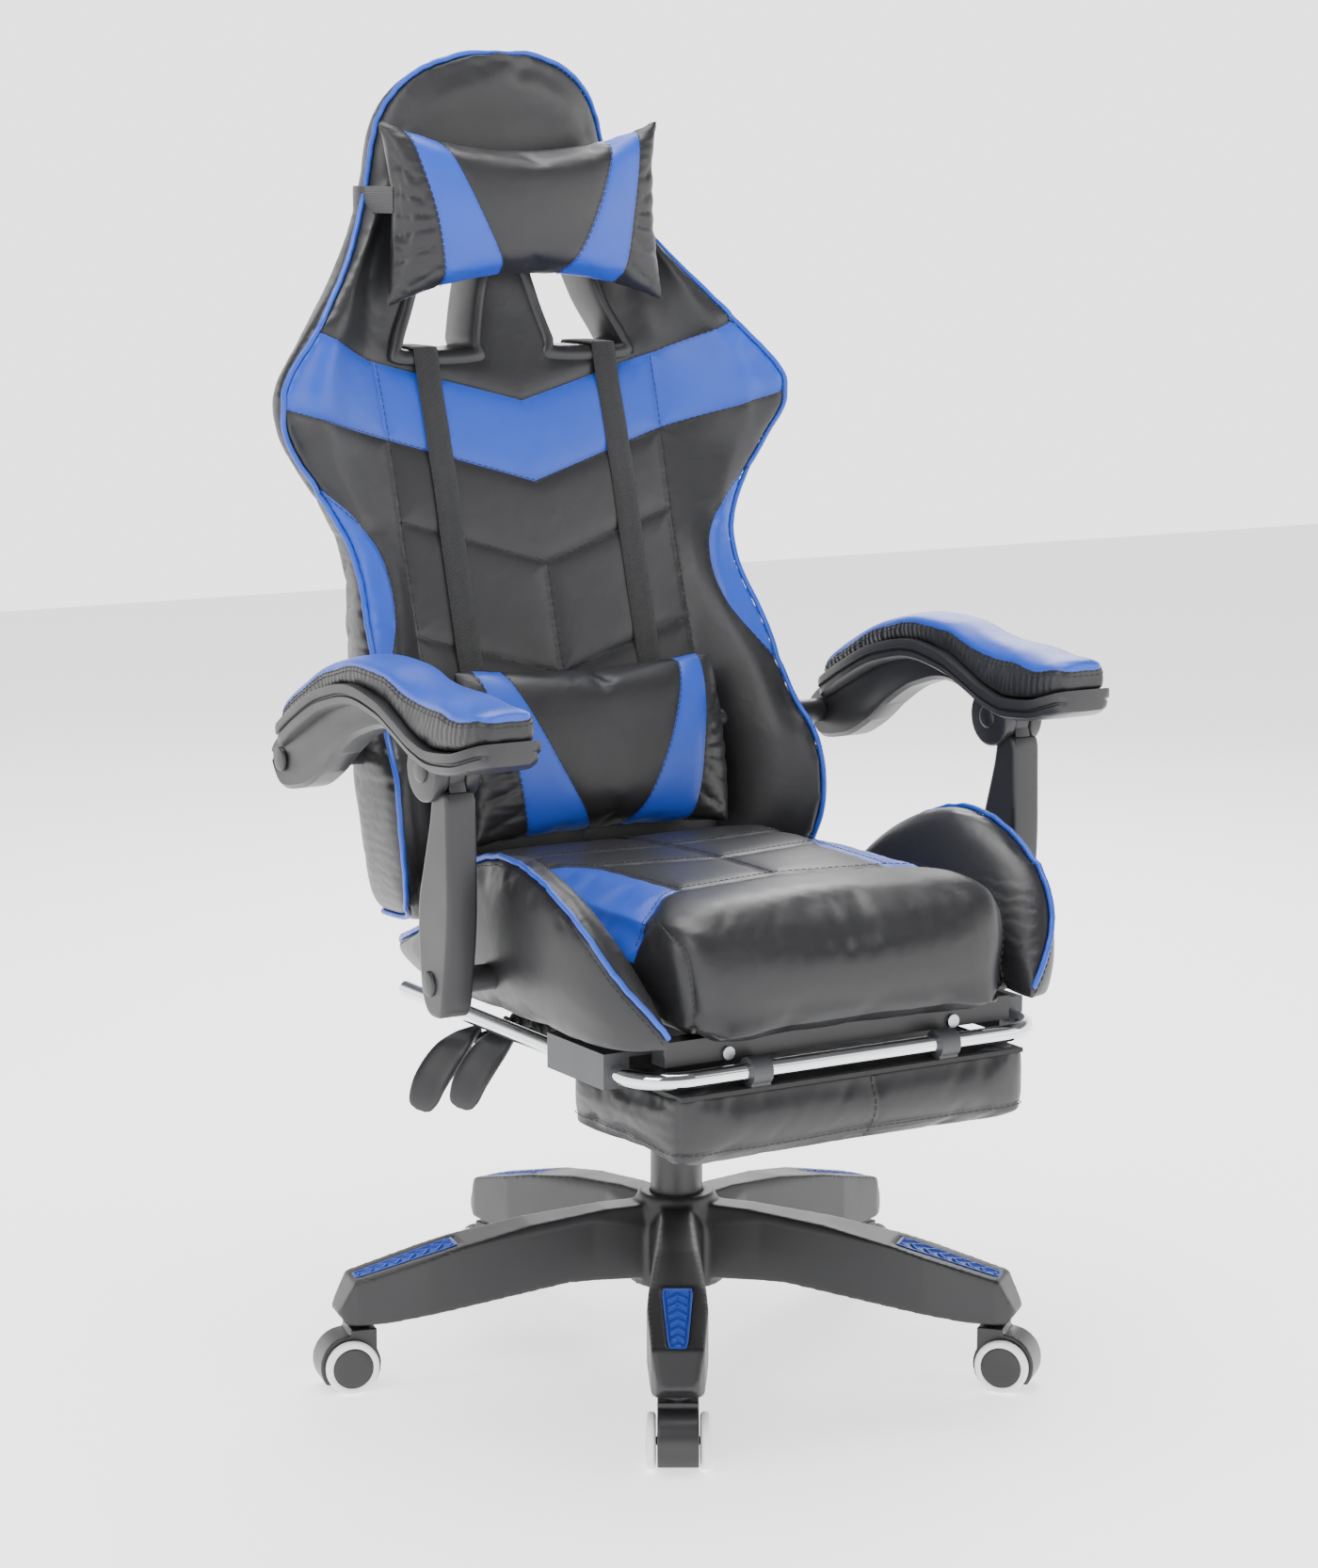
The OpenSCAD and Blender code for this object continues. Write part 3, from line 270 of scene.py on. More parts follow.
def apply_modifiers(piece):
    """Keeps a piece's evaluated mesh and drops its modifiers."""
    bpy.context.view_layer.update()
    kept = bpy.data.meshes.new_from_object(
        piece.evaluated_get(bpy.context.evaluated_depsgraph_get())
    )
    piece.modifiers.clear()
    piece.data = kept


def coordinates(mesh):
    """A mesh's points as an array, in metres."""
    out = np.empty(len(mesh.vertices) * 3, np.float64)
    mesh.vertices.foreach_get("co", out)
    return out.reshape(-1, 3)


def normals(mesh):
    """A mesh's normals at its points."""
    out = np.empty(len(mesh.vertices) * 3, np.float64)
    mesh.vertex_normals.foreach_get("vector", out)
    return out.reshape(-1, 3)


def move_to(mesh, points):
    """Moves a mesh's points to new places, in metres."""
    mesh.vertices.foreach_set("co", points.astype(np.float32).ravel())
    mesh.update()


# ---------------------------------------------------------------------------------------
# Padding


def remeshed(piece, voxel, rounding):
    """Remeshes a piece to even faces of a size and rounds its edges in a number of steps."""
    remesh = piece.modifiers.new("Remesh", "REMESH")
    remesh.mode = "VOXEL"
    remesh.voxel_size = voxel * MM
    soften = piece.modifiers.new("Soften", "SMOOTH")
    soften.factor = 0.5
    soften.iterations = rounding
    apply_modifiers(piece)


def inflate(piece, voxel, crown, inset, rounding):
    """Turns a closed form into padding: remeshed, filled by a cloth simulation under pressure, and
    moved by no more than crown from its own surface. Sizes are in millimetres."""
    remeshed(piece, voxel, rounding)
    mesh = piece.data
    start = coordinates(mesh) - normals(mesh) * inset * MM
    move_to(mesh, start)
    scene = bpy.context.scene
    cloth = piece.modifiers.new("Cloth", "CLOTH")
    # Stiff coated leather, so that it domes and hardly stretches
    stuff = {"quality": 3, "mass": 0.4, "tension_stiffness": 12, "compression_stiffness": 12,
             "shear_stiffness": 4, "bending_stiffness": 1.5, "use_pressure": True,
             "uniform_pressure_force": 4}
    for name, value in stuff.items():
        setattr(cloth.settings, name, value)
    cloth.settings.effector_weights.gravity = 0
    cloth.collision_settings.use_collision = False
    last = 20
    cloth.point_cache.frame_start = 1
    cloth.point_cache.frame_end = last
    for number in range(1, last + 1):
        scene.frame_set(number)
    bpy.context.view_layer.update()
    solved = piece.evaluated_get(bpy.context.evaluated_depsgraph_get())
    end = coordinates(solved.data)
    scene.frame_set(1)
    piece.modifiers.clear()
    moved = end - start
    far = np.linalg.norm(moved, axis=1, keepdims=True)
    limit = crown * MM
    moved *= limit * np.tanh(far / limit) / np.maximum(far, TINY)
    move_to(mesh, start + moved)
    relax = piece.modifiers.new("Relax", "SMOOTH")
    relax.factor = 0.5
    relax.iterations = 2
    finer = piece.modifiers.new("Finer", "SUBSURF")
    finer.levels = finer.render_levels = 1
    apply_modifiers(piece)


def on_surface(mesh_tree, points, toward):
    """Where rays through the points, in millimetres, first meet the surface, and its normals."""
    toward = Vector(toward).normalized()
    hits, facing = [], []
    for p in points:
        origin = Vector(np.array(p) * MM) - toward * 0.6
        place, normal, _, _ = mesh_tree.ray_cast(origin, toward)
        if place is not None:
            hits.append(np.array(place) / MM)
            facing.append(np.array(normal))
    return np.array(hits), np.array(facing)


def nearest(mesh_tree, points):
    """The nearest places on the surface to the points, in millimetres, and the normals there."""
    found = [mesh_tree.find_nearest(Vector(np.array(p) * MM)) for p in points]
    return np.array([np.array(f[0]) / MM for f in found]), np.array([np.array(f[1]) for f in found])


def cut_along(piece, paths, toward, reach=6, snap=0.3):
    """Splits the faces that each path crosses along it, so that a colour or a crease can end there.
    The cuts run in the direction toward, or level across the path where there is none."""
    form = bmesh.new()
    form.from_mesh(piece.data)
    known, fresh = list(form.verts), []
    finder = KDTree(len(known))
    for i, v in enumerate(known):
        finder.insert(v.co, i)
    finder.balance()
    for path in paths:
        path = np.array(path, float) * MM
        along = np.gradient(path, axis=0)
        along /= np.maximum(np.linalg.norm(along, axis=1, keepdims=True), TINY)
        view = np.cross(along, (0, 0, 1)) if toward is None else np.broadcast_to(toward, path.shape)
        across = np.cross(along, view)
        across /= np.maximum(np.linalg.norm(across, axis=1, keepdims=True), TINY)
        line = KDTree(len(path))
        near = {}
        for i, p in enumerate(path):
            line.insert(p, i)
            near.update((k, True) for _, k, _ in finder.find_range(Vector(p), reach * MM))
        line.balance()
        # How far each vertex near the path lies to one side of it, and the vertices on it
        side, on = {}, {}
        for v in [known[k] for k in near] + fresh:
            _, i, gap = line.find(v.co)
            off = np.array(v.co) - path[i]
            past = i in (0, len(path) - 1) and abs(off @ along[i]) > 3 * MM
            behind = toward is not None and v.normal @ Vector(toward) > 0.5
            if gap > reach * MM or past or behind:
                continue
            side[v] = off @ across[i]
            if abs(side[v]) < snap * MM:
                v.co -= Vector(across[i] * side[v])
                side[v] = 0
                on[v] = True
        crossed = []
        for v, d in side.items():
            if d < 0:
                for e in v.link_edges:
                    if side.get(e.other_vert(v), 0) > 0:
                        crossed.append((e, v, d / (d - side[e.other_vert(v)])))
        for e, v, share in crossed:
            made = bmesh.utils.edge_split(e, v, share)[1]
            on[made] = True
            fresh.append(made)
        for f in dict.fromkeys(f for v in on for f in v.link_faces):
            ends = [v for v in f.verts if v in on]
            apart = [(a, b) for i, a in enumerate(ends) for b in ends[i + 1 :]
                     if not any(e.other_vert(a) is b for e in a.link_edges)]
            if apart:
                bmesh.utils.face_split(f, *apart[0])
    form.to_mesh(piece.data)
    form.free()
    piece.data.update()


def crease(piece, paths, depth, width):
    """Pulls the surface in along sewn paths, deepest on the seam and fading over the width."""
    mesh = piece.data
    points, facing = coordinates(mesh), normals(mesh)
    seams = np.vstack(paths) * MM
    reach = 5 * width * MM
    cells = {}
    for i, key in enumerate(map(tuple, np.floor(seams / reach).astype(int))):
        cells.setdefault(key, []).append(i)
    homes = {}
    for i, key in enumerate(map(tuple, np.floor(points / reach).astype(int))):
        homes.setdefault(key, []).append(i)
    for key, members in homes.items():
        near = [
            i
            for dx in (-1, 0, 1)
            for dy in (-1, 0, 1)
            for dz in (-1, 0, 1)
            for i in cells.get((key[0] + dx, key[1] + dy, key[2] + dz), ())
        ]
        if not near:
            continue
        gaps = np.linalg.norm(points[members][:, None] - seams[near][None], axis=2).min(axis=1)
        pull = depth * MM * np.exp(-gaps / (width * MM)) * (gaps < reach)
        points[members] -= facing[members] * pull[:, None]
    move_to(mesh, points)


def paint(piece, rule):
    """Gives each face the material index that the rule returns for its centre in millimetres."""
    for face in piece.data.polygons:
        face.material_index = rule(np.array(face.center) / MM, np.array(face.normal))


def surface_tree(piece):
    """A piece's surface, ready to be searched."""
    form = bmesh.new()
    form.from_mesh(piece.data)
    tree = BVHTree.FromBMesh(form)
    form.free()
    return tree


def stitches(path, facing, offset=0.0):
    """Short raised threads along a path on a surface, beside it by an offset in millimetres."""
    sizes, _ = chair()
    thread, stitch = sizes.thread / MM, sizes.stitch / MM
    pitch = stitch * 1.45
    path, facing = np.array(path, float), np.array(facing, float)
    gone = np.concatenate([[0], np.cumsum(np.linalg.norm(np.diff(path, axis=0), axis=1))])
    centres = np.arange(pitch / 2, gone[-1] - pitch / 2, pitch)
    steps = (centres[:, None] + np.linspace(-0.5, 0.5, 5) * stitch).ravel()
    place = np.stack([np.interp(steps, gone, path[:, k]) for k in range(3)], axis=1)
    out = np.stack([np.interp(steps, gone, facing[:, k]) for k in range(3)], axis=1)
    along = np.stack([
        np.interp(steps + 1, gone, path[:, k]) - np.interp(steps - 1, gone, path[:, k])
        for k in range(3)
    ], axis=1)
    side = np.cross(along, out)
    side /= np.maximum(np.linalg.norm(side, axis=1, keepdims=True), TINY)
    lift = np.tile([-0.3, 0.45, 0.6, 0.45, -0.3], len(centres))[:, None] * thread
    bars = (place + side * offset + out * lift).reshape(-1, 5, 3)
    return [tube(bar, thread / 2, 6) for bar in bars]


def sewn_on(name, threads, body):
    """One piece from all the stitches of a cover."""
    settle(mesh_object(name, *merged(*threads), THREAD), body)


def cording(path, facing):
    """Piping, half sunk along a path on a surface."""
    sizes, _ = chair()
    return tube(resample(path + facing * 1.2, spacing=5), sizes.piping / MM / 2, 12)


def beside(part, name, side, finish_name, body, nodes=(), angle=40):
    """A piece for one side of the chair, made from the left one."""
    made = mesh_object(name + "_" + side, *(part if side == "l" else mirrored(part)), finish_name)
    settle(made, body, nodes, angle)


def both_sides(form, name, body, node):
    """Padded pieces for the sitter's left and right from the left one, which is then dropped."""
    for side in "lr":
        piece = form.copy()
        piece.data = form.data.copy()
        piece.name = name + "_" + side
        bpy.context.collection.objects.link(piece)
        if side == "r":
            piece.data.transform(Matrix.Scale(-1, 4, (1, 0, 0)))
            piece.data.flip_normals()
        settle(piece, body.format(side), [node.format(side)])
    bpy.data.objects.remove(form)


def seam_on(tree, points, toward, spacing=3, rounded=False):
    """A seam drawn straight onto a surface: its path and the surface's normals along it."""
    return on_surface(tree, resample(points, spacing=spacing, rounded=rounded), toward)


def two_sided(points):
    """The same line on the sitter's left and right."""
    points = np.array(points, float)
    return [points, points * [-1, 1, 1]]


# ---------------------------------------------------------------------------------------
# Finishes


def add(tree, kind, sockets=None, **settings):
    """Adds a node with its settings; a socket's value is a number, a colour or another's output."""
    made = tree.nodes.new("ShaderNode" + kind)
    for name, value in settings.items():
        setattr(made, name, value)
    for name, value in (sockets or {}).items():
        if isinstance(value, bpy.types.NodeSocket):
            tree.links.new(value, made.inputs[name])
        else:
            made.inputs[name].default_value = value
    return made


WAVE = 6.28 / 20  # a wave texture's scale for one wave per unit


def finish(name, base, **sockets):
    """A new finish: its node tree, its shader and the piece's own coordinates."""
    made = bpy.data.materials.new(name)
    made.use_nodes = True
    tree = made.node_tree
    shader = tree.nodes["Principled BSDF"]
    shader.inputs["Base Color"].default_value = (*base, 1)
    for socket, value in sockets.items():
        shader.inputs[socket.replace("_", " ")].default_value = value
    return tree, shader, add(tree, "TexCoord").outputs["Object"]


def shifted(base, factor):
    """A colour made lighter or darker."""
    return (*[min(1.0, c * factor) for c in base], 1)


def vary(tree, shader, place, base, size_mm, darker, lighter):
    """Uneven colour in patches of a size."""
    patches = add(tree, "TexNoise", {"Vector": place, "Scale": 1 / (size_mm * MM), "Detail": 3})
    mixed = add(tree, "Mix", {"Factor": patches.outputs["Fac"]}, data_type="RGBA")
    mixed.inputs["A"].default_value = shifted(base, darker)
    mixed.inputs["B"].default_value = shifted(base, lighter)
    tree.links.new(mixed.outputs["Result"], shader.inputs["Base Color"])


def roughen(tree, shader, place, size_mm, smoothest, roughest):
    """Uneven gloss in patches of a size."""
    patches = add(tree, "TexNoise", {"Vector": place, "Scale": 1 / (size_mm * MM), "Detail": 4})
    ranged = add(
        tree, "MapRange", {"Value": patches.outputs["Fac"], "To Min": smoothest, "To Max": roughest}
    )
    tree.links.new(ranged.outputs["Result"], shader.inputs["Roughness"])


def emboss(tree, shader, *layers):
    """Relief from (height output, strength, depth in millimetres) layers, one over the other."""
    below = None
    for height, strength, depth in layers:
        bump = add(tree, "Bump", {"Height": height, "Strength": strength, "Distance": depth * MM})
        if below:
            tree.links.new(below, bump.inputs["Normal"])
        below = bump.outputs["Normal"]
    tree.links.new(below, shader.inputs["Normal"])


def coated_leather(name, base, grain_mm, gather=0.0, run="Z", fold_mm=11):
    """Polyurethane-coated leather, embossed with a pebble grain: a soft sheen, rounded pebbles with
    fine valleys between them, and shallow creases. gather puckers it, as beside a tight seam, in
    folds that follow one another along an axis."""
    tree, shader, place = finish(name, base, IOR=1.47, Roughness=0.42, Coat_Weight=0.06)
    shader.inputs["Coat Roughness"].default_value = 0.35
    vary(tree, shader, place, base, 45, 0.9, 1.12)
    roughen(tree, shader, place, 18, 0.36, 0.5)
    warp = add(tree, "TexNoise", {"Vector": place, "Scale": 1 / (4 * grain_mm * MM), "Detail": 1})
    bent = add(tree, "MixRGB", {"Fac": 0.0008, "Color1": place, "Color2": warp.outputs["Color"]})
    bent.blend_type = "ADD"
    pebbles = add(
        tree, "TexVoronoi", {"Vector": bent.outputs["Color"], "Scale": 1 / (grain_mm * MM)}
    )
    creases = add(
        tree, "TexNoise", {"Vector": place, "Scale": 1 / (26 * MM), "Detail": 3, "Distortion": 0.6}
    )
    layers = [(pebbles.outputs["Distance"], -0.22, 0.25), (creases.outputs["Fac"], 0.25, 2.2)]
    if gather:
        folds = add(
            tree, "TexWave", {"Vector": place, "Scale": WAVE / (fold_mm * MM), "Distortion": 5,
                              "Detail": 2, "Detail Scale": 1.2}, bands_direction=run
        )
        layers.append((folds.outputs["Fac"], gather, 1.6))
    emboss(tree, shader, *layers)


def moulded_plastic(name, base, roughness, spark_mm=0.9, depth=0.05):
    """Moulded thermoplastic, spark-eroded: even, faintly pebbled and slightly worn."""
    tree, shader, place = finish(name, base, IOR=1.5, Roughness=roughness)
    vary(tree, shader, place, base, 60, 0.88, 1.1)
    roughen(tree, shader, place, 35, roughness - 0.06, roughness + 0.08)
    spark = add(tree, "TexNoise", {"Vector": place, "Scale": 1 / (spark_mm * MM), "Detail": 2})
    emboss(tree, shader, (spark.outputs["Fac"], 0.35, depth))


def metal(name, base, roughness, streak_mm=None):
    """Plated metal: uneven gloss, and the streaks of drawing or brushing along X where given."""
    tree, shader, place = finish(name, base, Metallic=1, Roughness=roughness)
    roughen(tree, shader, place, 12, roughness * 0.8, roughness * 1.35)
    if streak_mm:
        long = add(tree, "Mapping", {"Vector": place, "Scale": (0.04, 1, 1)})
        streaks = add(
            tree, "TexNoise", {"Vector": long.outputs["Vector"], "Scale": 1 / (streak_mm * MM)}
        )
        emboss(tree, shader, (streaks.outputs["Fac"], 0.2, 0.05))


def woven_webbing(name, base, thread_mm):
    """Woven polyester webbing: slanting twill ribs, matt, drawn twice as coarse as real threads."""
    tree, shader, place = finish(name, base, IOR=1.5, Roughness=0.85)
    shader.inputs["Sheen Weight"].default_value = 0.3
    vary(tree, shader, place, base, 9, 0.8, 1.25)
    slanted = add(tree, "Mapping", {"Vector": place, "Rotation": (0, math.radians(35), 0)})
    ribs = add(
        tree,
        "TexWave",
        {"Vector": slanted.outputs["Vector"], "Scale": WAVE / (thread_mm * MM), "Distortion": 0.4},
        bands_direction="Z",
    )
    emboss(tree, shader, (ribs.outputs["Fac"], 0.7, 0.5))


class ChairFinishes(bpy.types.Operator):
    """Makes the chair's finishes and gives each CAD node its own"""

    bl_idname = "chair.finishes"
    bl_label = "Finishes"

    def execute(self, context):
        sizes, colours = chair()
        grain = sizes.grain / MM
        cover, accent = tuple(colours.cover), tuple(colours.accent)
        coated_leather(LEATHER, cover, grain)
        coated_leather(LEATHER_BLUE, accent, grain)
        coated_leather(LEATHER_GATHERED, cover, grain, gather=0.2)
        coated_leather(LEATHER_SHIRRED, cover, grain, gather=0.35, run="Y", fold_mm=8)
        # Piping: a strip of the same leather sewn round a cord, stretched smooth
        tree, shader, place = finish(CORD, accent, IOR=1.47, Roughness=0.4)
        vary(tree, shader, place, accent, 12, 0.85, 1.15)
        turns = add(tree, "TexNoise", {"Vector": place, "Scale": 1 / (3 * MM), "Detail": 2})
        emboss(tree, shader, (turns.outputs["Fac"], 0.3, 0.3))
        # Sewing thread: bonded polyester, nearly matt
        tree, shader, place = finish(THREAD, linear("1d1d1f"), Roughness=0.7)
        vary(tree, shader, place, linear("1d1d1f"), 2, 0.7, 1.5)
        woven_webbing(WEBBING, tuple(colours.webbing), 1.8)
        plastic = tuple(colours.plastic)
        moulded_plastic("glass-filled nylon, moulded", plastic, 0.44)
        moulded_plastic(SATIN, shifted(plastic, 1.25)[:3], 0.4, 0.7, 0.04)
        moulded_plastic(BLACK, linear("202022"), 0.36, 0.7, 0.03)
        moulded_plastic("ABS, moulded blue inlay", accent, 0.42, 0.7, 0.05)
        moulded_plastic("ABS, moulded grey", linear("3a3b3e"), 0.45, 0.8, 0.05)
        moulded_plastic("polyurethane tyre, cast white", tuple(colours.tread), 0.35, 1.2, 0.03)
        moulded_plastic(RUBBER, linear("1b1b1c"), 0.7, 0.6, 0.08)
        # Chrome plate over steel tube: a mirror with a trace of haze
        metal("steel, chrome plated", linear("e4e6e9"), 0.06)
        metal("steel, zinc plated", linear("b9bcc0"), 0.3, 0.8)
        # Powder coat: baked polyester paint with a fine orange peel
        tree, shader, place = finish(POWDER_COAT, linear("232325"), Roughness=0.4)
        vary(tree, shader, place, linear("232325"), 30, 0.85, 1.15)
        peel = add(tree, "TexNoise", {"Vector": place, "Scale": 1 / (1.4 * MM), "Detail": 2})
        emboss(tree, shader, (peel.outputs["Fac"], 0.25, 0.08))
        by_slot = {
            "base_nylon": "glass-filled nylon, moulded",
            "inlay_blue": "ABS, moulded blue inlay",
            "column_black": POWDER_COAT,
            "bush_plastic": BLACK,
            "bright_steel": "steel, zinc plated",
            "frame_steel": POWDER_COAT,
            "seat_leather": LEATHER,
            "back_leather": LEATHER,
            "pillow_leather": LEATHER,
            "arm_pad_leather": LEATHER_BLUE,
            "footrest_leather": LEATHER,
            "footrest_plywood": RUBBER,
            "webbing": WEBBING,
            "arm_plastic": SATIN,
            "guide_plastic": "ABS, moulded grey",
            "lever_plastic": SATIN,
            "bellows_rubber": RUBBER,
            "rail_chrome": "steel, chrome plated",
            "caster_nylon": BLACK,
            "wheel_white": "polyurethane tyre, cast white",
        }
        for part in frame["record"]["subparts"]:
            slot = by_slot[part["material_slot"]]
            if part["node"] in ("arm_lower_pins", "arm_rear_mounts"):
                slot = POWDER_COAT
            piece = NODES[part["node"]]
            for entry in piece.material_slots:
                entry.material = bpy.data.materials[slot]
            if not piece.material_slots:
                piece.data.materials.append(bpy.data.materials[slot])
        return {"FINISHED"}


# ---------------------------------------------------------------------------------------
# Stage


class ChairStage(bpy.types.Operator):
    """Makes the pale floor, the soft lights and the camera"""

    bl_idname = "chair.stage"
    bl_label = "Stage"

    def execute(self, context):
        sizes, _ = chair()
        scene = context.scene
        world = bpy.data.worlds.new("studio")
        world.use_nodes = True
        # A round white wall far off, bright at eye level and dim overhead
        tree = world.node_tree
        toward = add(tree, "SeparateXYZ", {"Vector": add(tree, "TexCoord").outputs["Generated"]})
        height = add(tree, "MapRange", {"Value": toward.outputs["Z"], "From Min": 0.2,
                                        "From Max": 0.42, "To Min": 2.7, "To Max": 0.2})
        background = tree.nodes["Background"]
        background.inputs["Color"].default_value = (1, 1, 1, 1)
        tree.links.new(height.outputs["Result"], background.inputs["Strength"])
        scene.world = world

        # A flat floor that reaches far outside the chair
        half = sizes.floor / MM
        points = [(-half, -half, 0), (half, -half, 0), (half, half, 0), (-half, half, 0)]
        # Seamless paper, lit from behind so that it stays white
        tree, shader, place = finish("paper backdrop, matt", linear("fefefe"), Roughness=0.95)
        shader.inputs["Emission Color"].default_value = (1, 1, 1, 1)
        shader.inputs["Emission Strength"].default_value = 1.4
        vary(tree, shader, place, linear("fefefe"), 400, 0.99, 1.0)
        floor = mesh_object("floor", points, [(0, 1, 2, 3)], "paper backdrop, matt")
        shade(floor)

        camera = bpy.data.cameras.new("camera")
        camera.sensor_fit = "VERTICAL"
        camera.sensor_height = 36
        camera.lens = 86.8
        camera.clip_end = 50
        seen = bpy.data.objects.new("camera", camera)
        seen.location = np.array((-1829.7, -3017.6, 1151.1)) * MM
        seen.rotation_euler = [math.radians(a) for a in (80.48, 0.08, -30.98)]
        context.collection.objects.link(seen)
        scene.camera = seen

        # Softboxes: place, where they point, size and power
        lights = {
            "key": ((-2600, -1800, 2900), (0, 0, 600), 1800, 60),
            "fill": ((2600, -2300, 1900), (0, 0, 600), 2000, 20),
            "top": ((0, 400, 3400), (0, 0, 500), 2400, 140),
            "rim": ((1800, 2300, 2300), (0, 0, 800), 1600, 70),
        }
        for name, (place, aim, size, power) in lights.items():
            light = bpy.data.lights.new(name, "AREA")
            light.size = size * MM
            light.energy = power
            made = bpy.data.objects.new(name, light)
            made.location = np.array(place) * MM
            toward = Vector(np.array(aim) * MM) - made.location
            made.rotation_euler = toward.to_track_quat("-Z", "Y").to_euler()
            context.collection.objects.link(made)
        return {"FINISHED"}


# ---------------------------------------------------------------------------------------
# Back

BACK_Z0, BACK_H = low("back_cushion")[2], high("back_cushion")[2] - low("back_cushion")[2]
BACK_Y0 = 171
SEAM_X = 153  # the middle panel's sewn sides
# Over the height, from 0 to 1: the middle panel's face, how far the wings stand in front of it,
# half the width, and the thickness.
FACE = [(0, 0), (0.105, 10), (0.19, 30), (0.27, 51), (0.4, 84), (0.49, 104), (0.59, 131),
        (0.65, 149), (0.71, 163), (0.8, 171), (0.905, 171), (0.965, 160), (1, 150)]
WING = [(0, 20), (0.045, 62), (0.12, 85), (0.18, 91), (0.24, 72), (0.32, 54), (0.395, 31),
        (0.45, 21), (0.525, 32), (0.61, 68), (0.68, 66), (0.72, 52), (0.78, 28), (0.84, 8),
        (0.88, 0), (1, 0)]
HALF = [(0, 206), (0.04, 228), (0.14, 240), (0.27, 232), (0.34, 227), (0.385, 222), (0.42, 225),
        (0.46, 239), (0.505, 262), (0.55, 283), (0.588, 292), (0.612, 290), (0.645, 270),
        (0.68, 243), (0.735, 205), (0.79, 175), (0.85, 150), (0.9, 139), (0.938, 127),
        (0.976, 98), (0.994, 60), (1, 24)]
DEPTH = [(0, 86), (0.4, 76), (0.56, 59), (0.64, 43), (0.77, 43), (0.88, 52), (0.96, 50), (1, 20)]


def back_ring(t):
    """Outline of the back at a height: half of it, from the middle of the face to the rear."""
    face, wing = BACK_Y0 + smooth(FACE, t), smooth(WING, t)
    half, depth = smooth(HALF, t), smooth(DEPTH, t)
    rear = face + depth
    inner = min(SEAM_X - 6, 0.72 * half)
    crest = half - 17
    head = smooth([(0, 0), (0.74, 0), (0.86, 1), (1, 1)], t)
    front = face - wing
    band = max(front + 22, rear - 0.5 * max(0, half - SEAM_X) - 10)
    return [
        (0, face - 3 - 3 * head), (0.5 * inner, face - 2 - head), (inner, face + 1 + 2 * head),
        (inner + 0.35 * (crest - inner), face + 2 - 0.3 * wing + 4 * head),
        (inner + 0.75 * (crest - inner), face + 1 - 0.8 * wing + 6 * head),
        (crest, front - 3 + 9 * head), (half - 5, front + 1 + 12 * head),
        (half, front + 9 + 10 * head), (half - 1, 0.5 * (front + 9 + band)), (half - 5, band),
        (half - 18, band + 8), (0.9 * inner, rear - 1), (0.4 * inner, rear), (0, rear),
    ]


def back_z(t):
    return BACK_Z0 + t * BACK_H


def back_height(z):
    return (z - BACK_Z0) / BACK_H


# Sewn lines as (distance from the middle, height)
BAND_TOP = [(0, 906), (162, 949), (300, 1010)]
BAND_FOOT = [(0, 827), (154, 873), (310, 916)]
QUILT_STEP = 109
CRESCENT = resample([(292, 872), (263, 843), (221, 812), (190, 776), (181, 743), (184, 711),
                     (196, 684), (216, 655), (240, 634)], 120)


def below(line, x, z):
    return z < np.interp(abs(x), [p[0] for p in line], [p[1] for p in line])


def in_crescent(x, z):
    line = CRESCENT[::-1]
    return line[0, 1] < z < line[-1, 1] and abs(x) > np.interp(z, line[:, 1], line[:, 0])


def strap_hole(grow, y):
    """Outline of the strap hole on the sitter's left, widened all round."""
    z0, h = back_z(0.65), 0.11 * BACK_H
    z1 = z0 + h
    corners = [(52 - grow, z0 - grow), (118 + grow, z0 - grow), (121 + grow, z0 + 6),
               (104 + grow, z0 + 0.45 * h), (86 + grow, z1 - 4), (80 + 0.5 * grow, z1 + grow),
               (34 - 0.5 * grow, z1 + grow), (27 - grow, z1 - 4), (36 - grow, z0 + 0.55 * h),
               (48 - grow, z0 + 8)]
    return [(x, y, z) for x, z in corners]


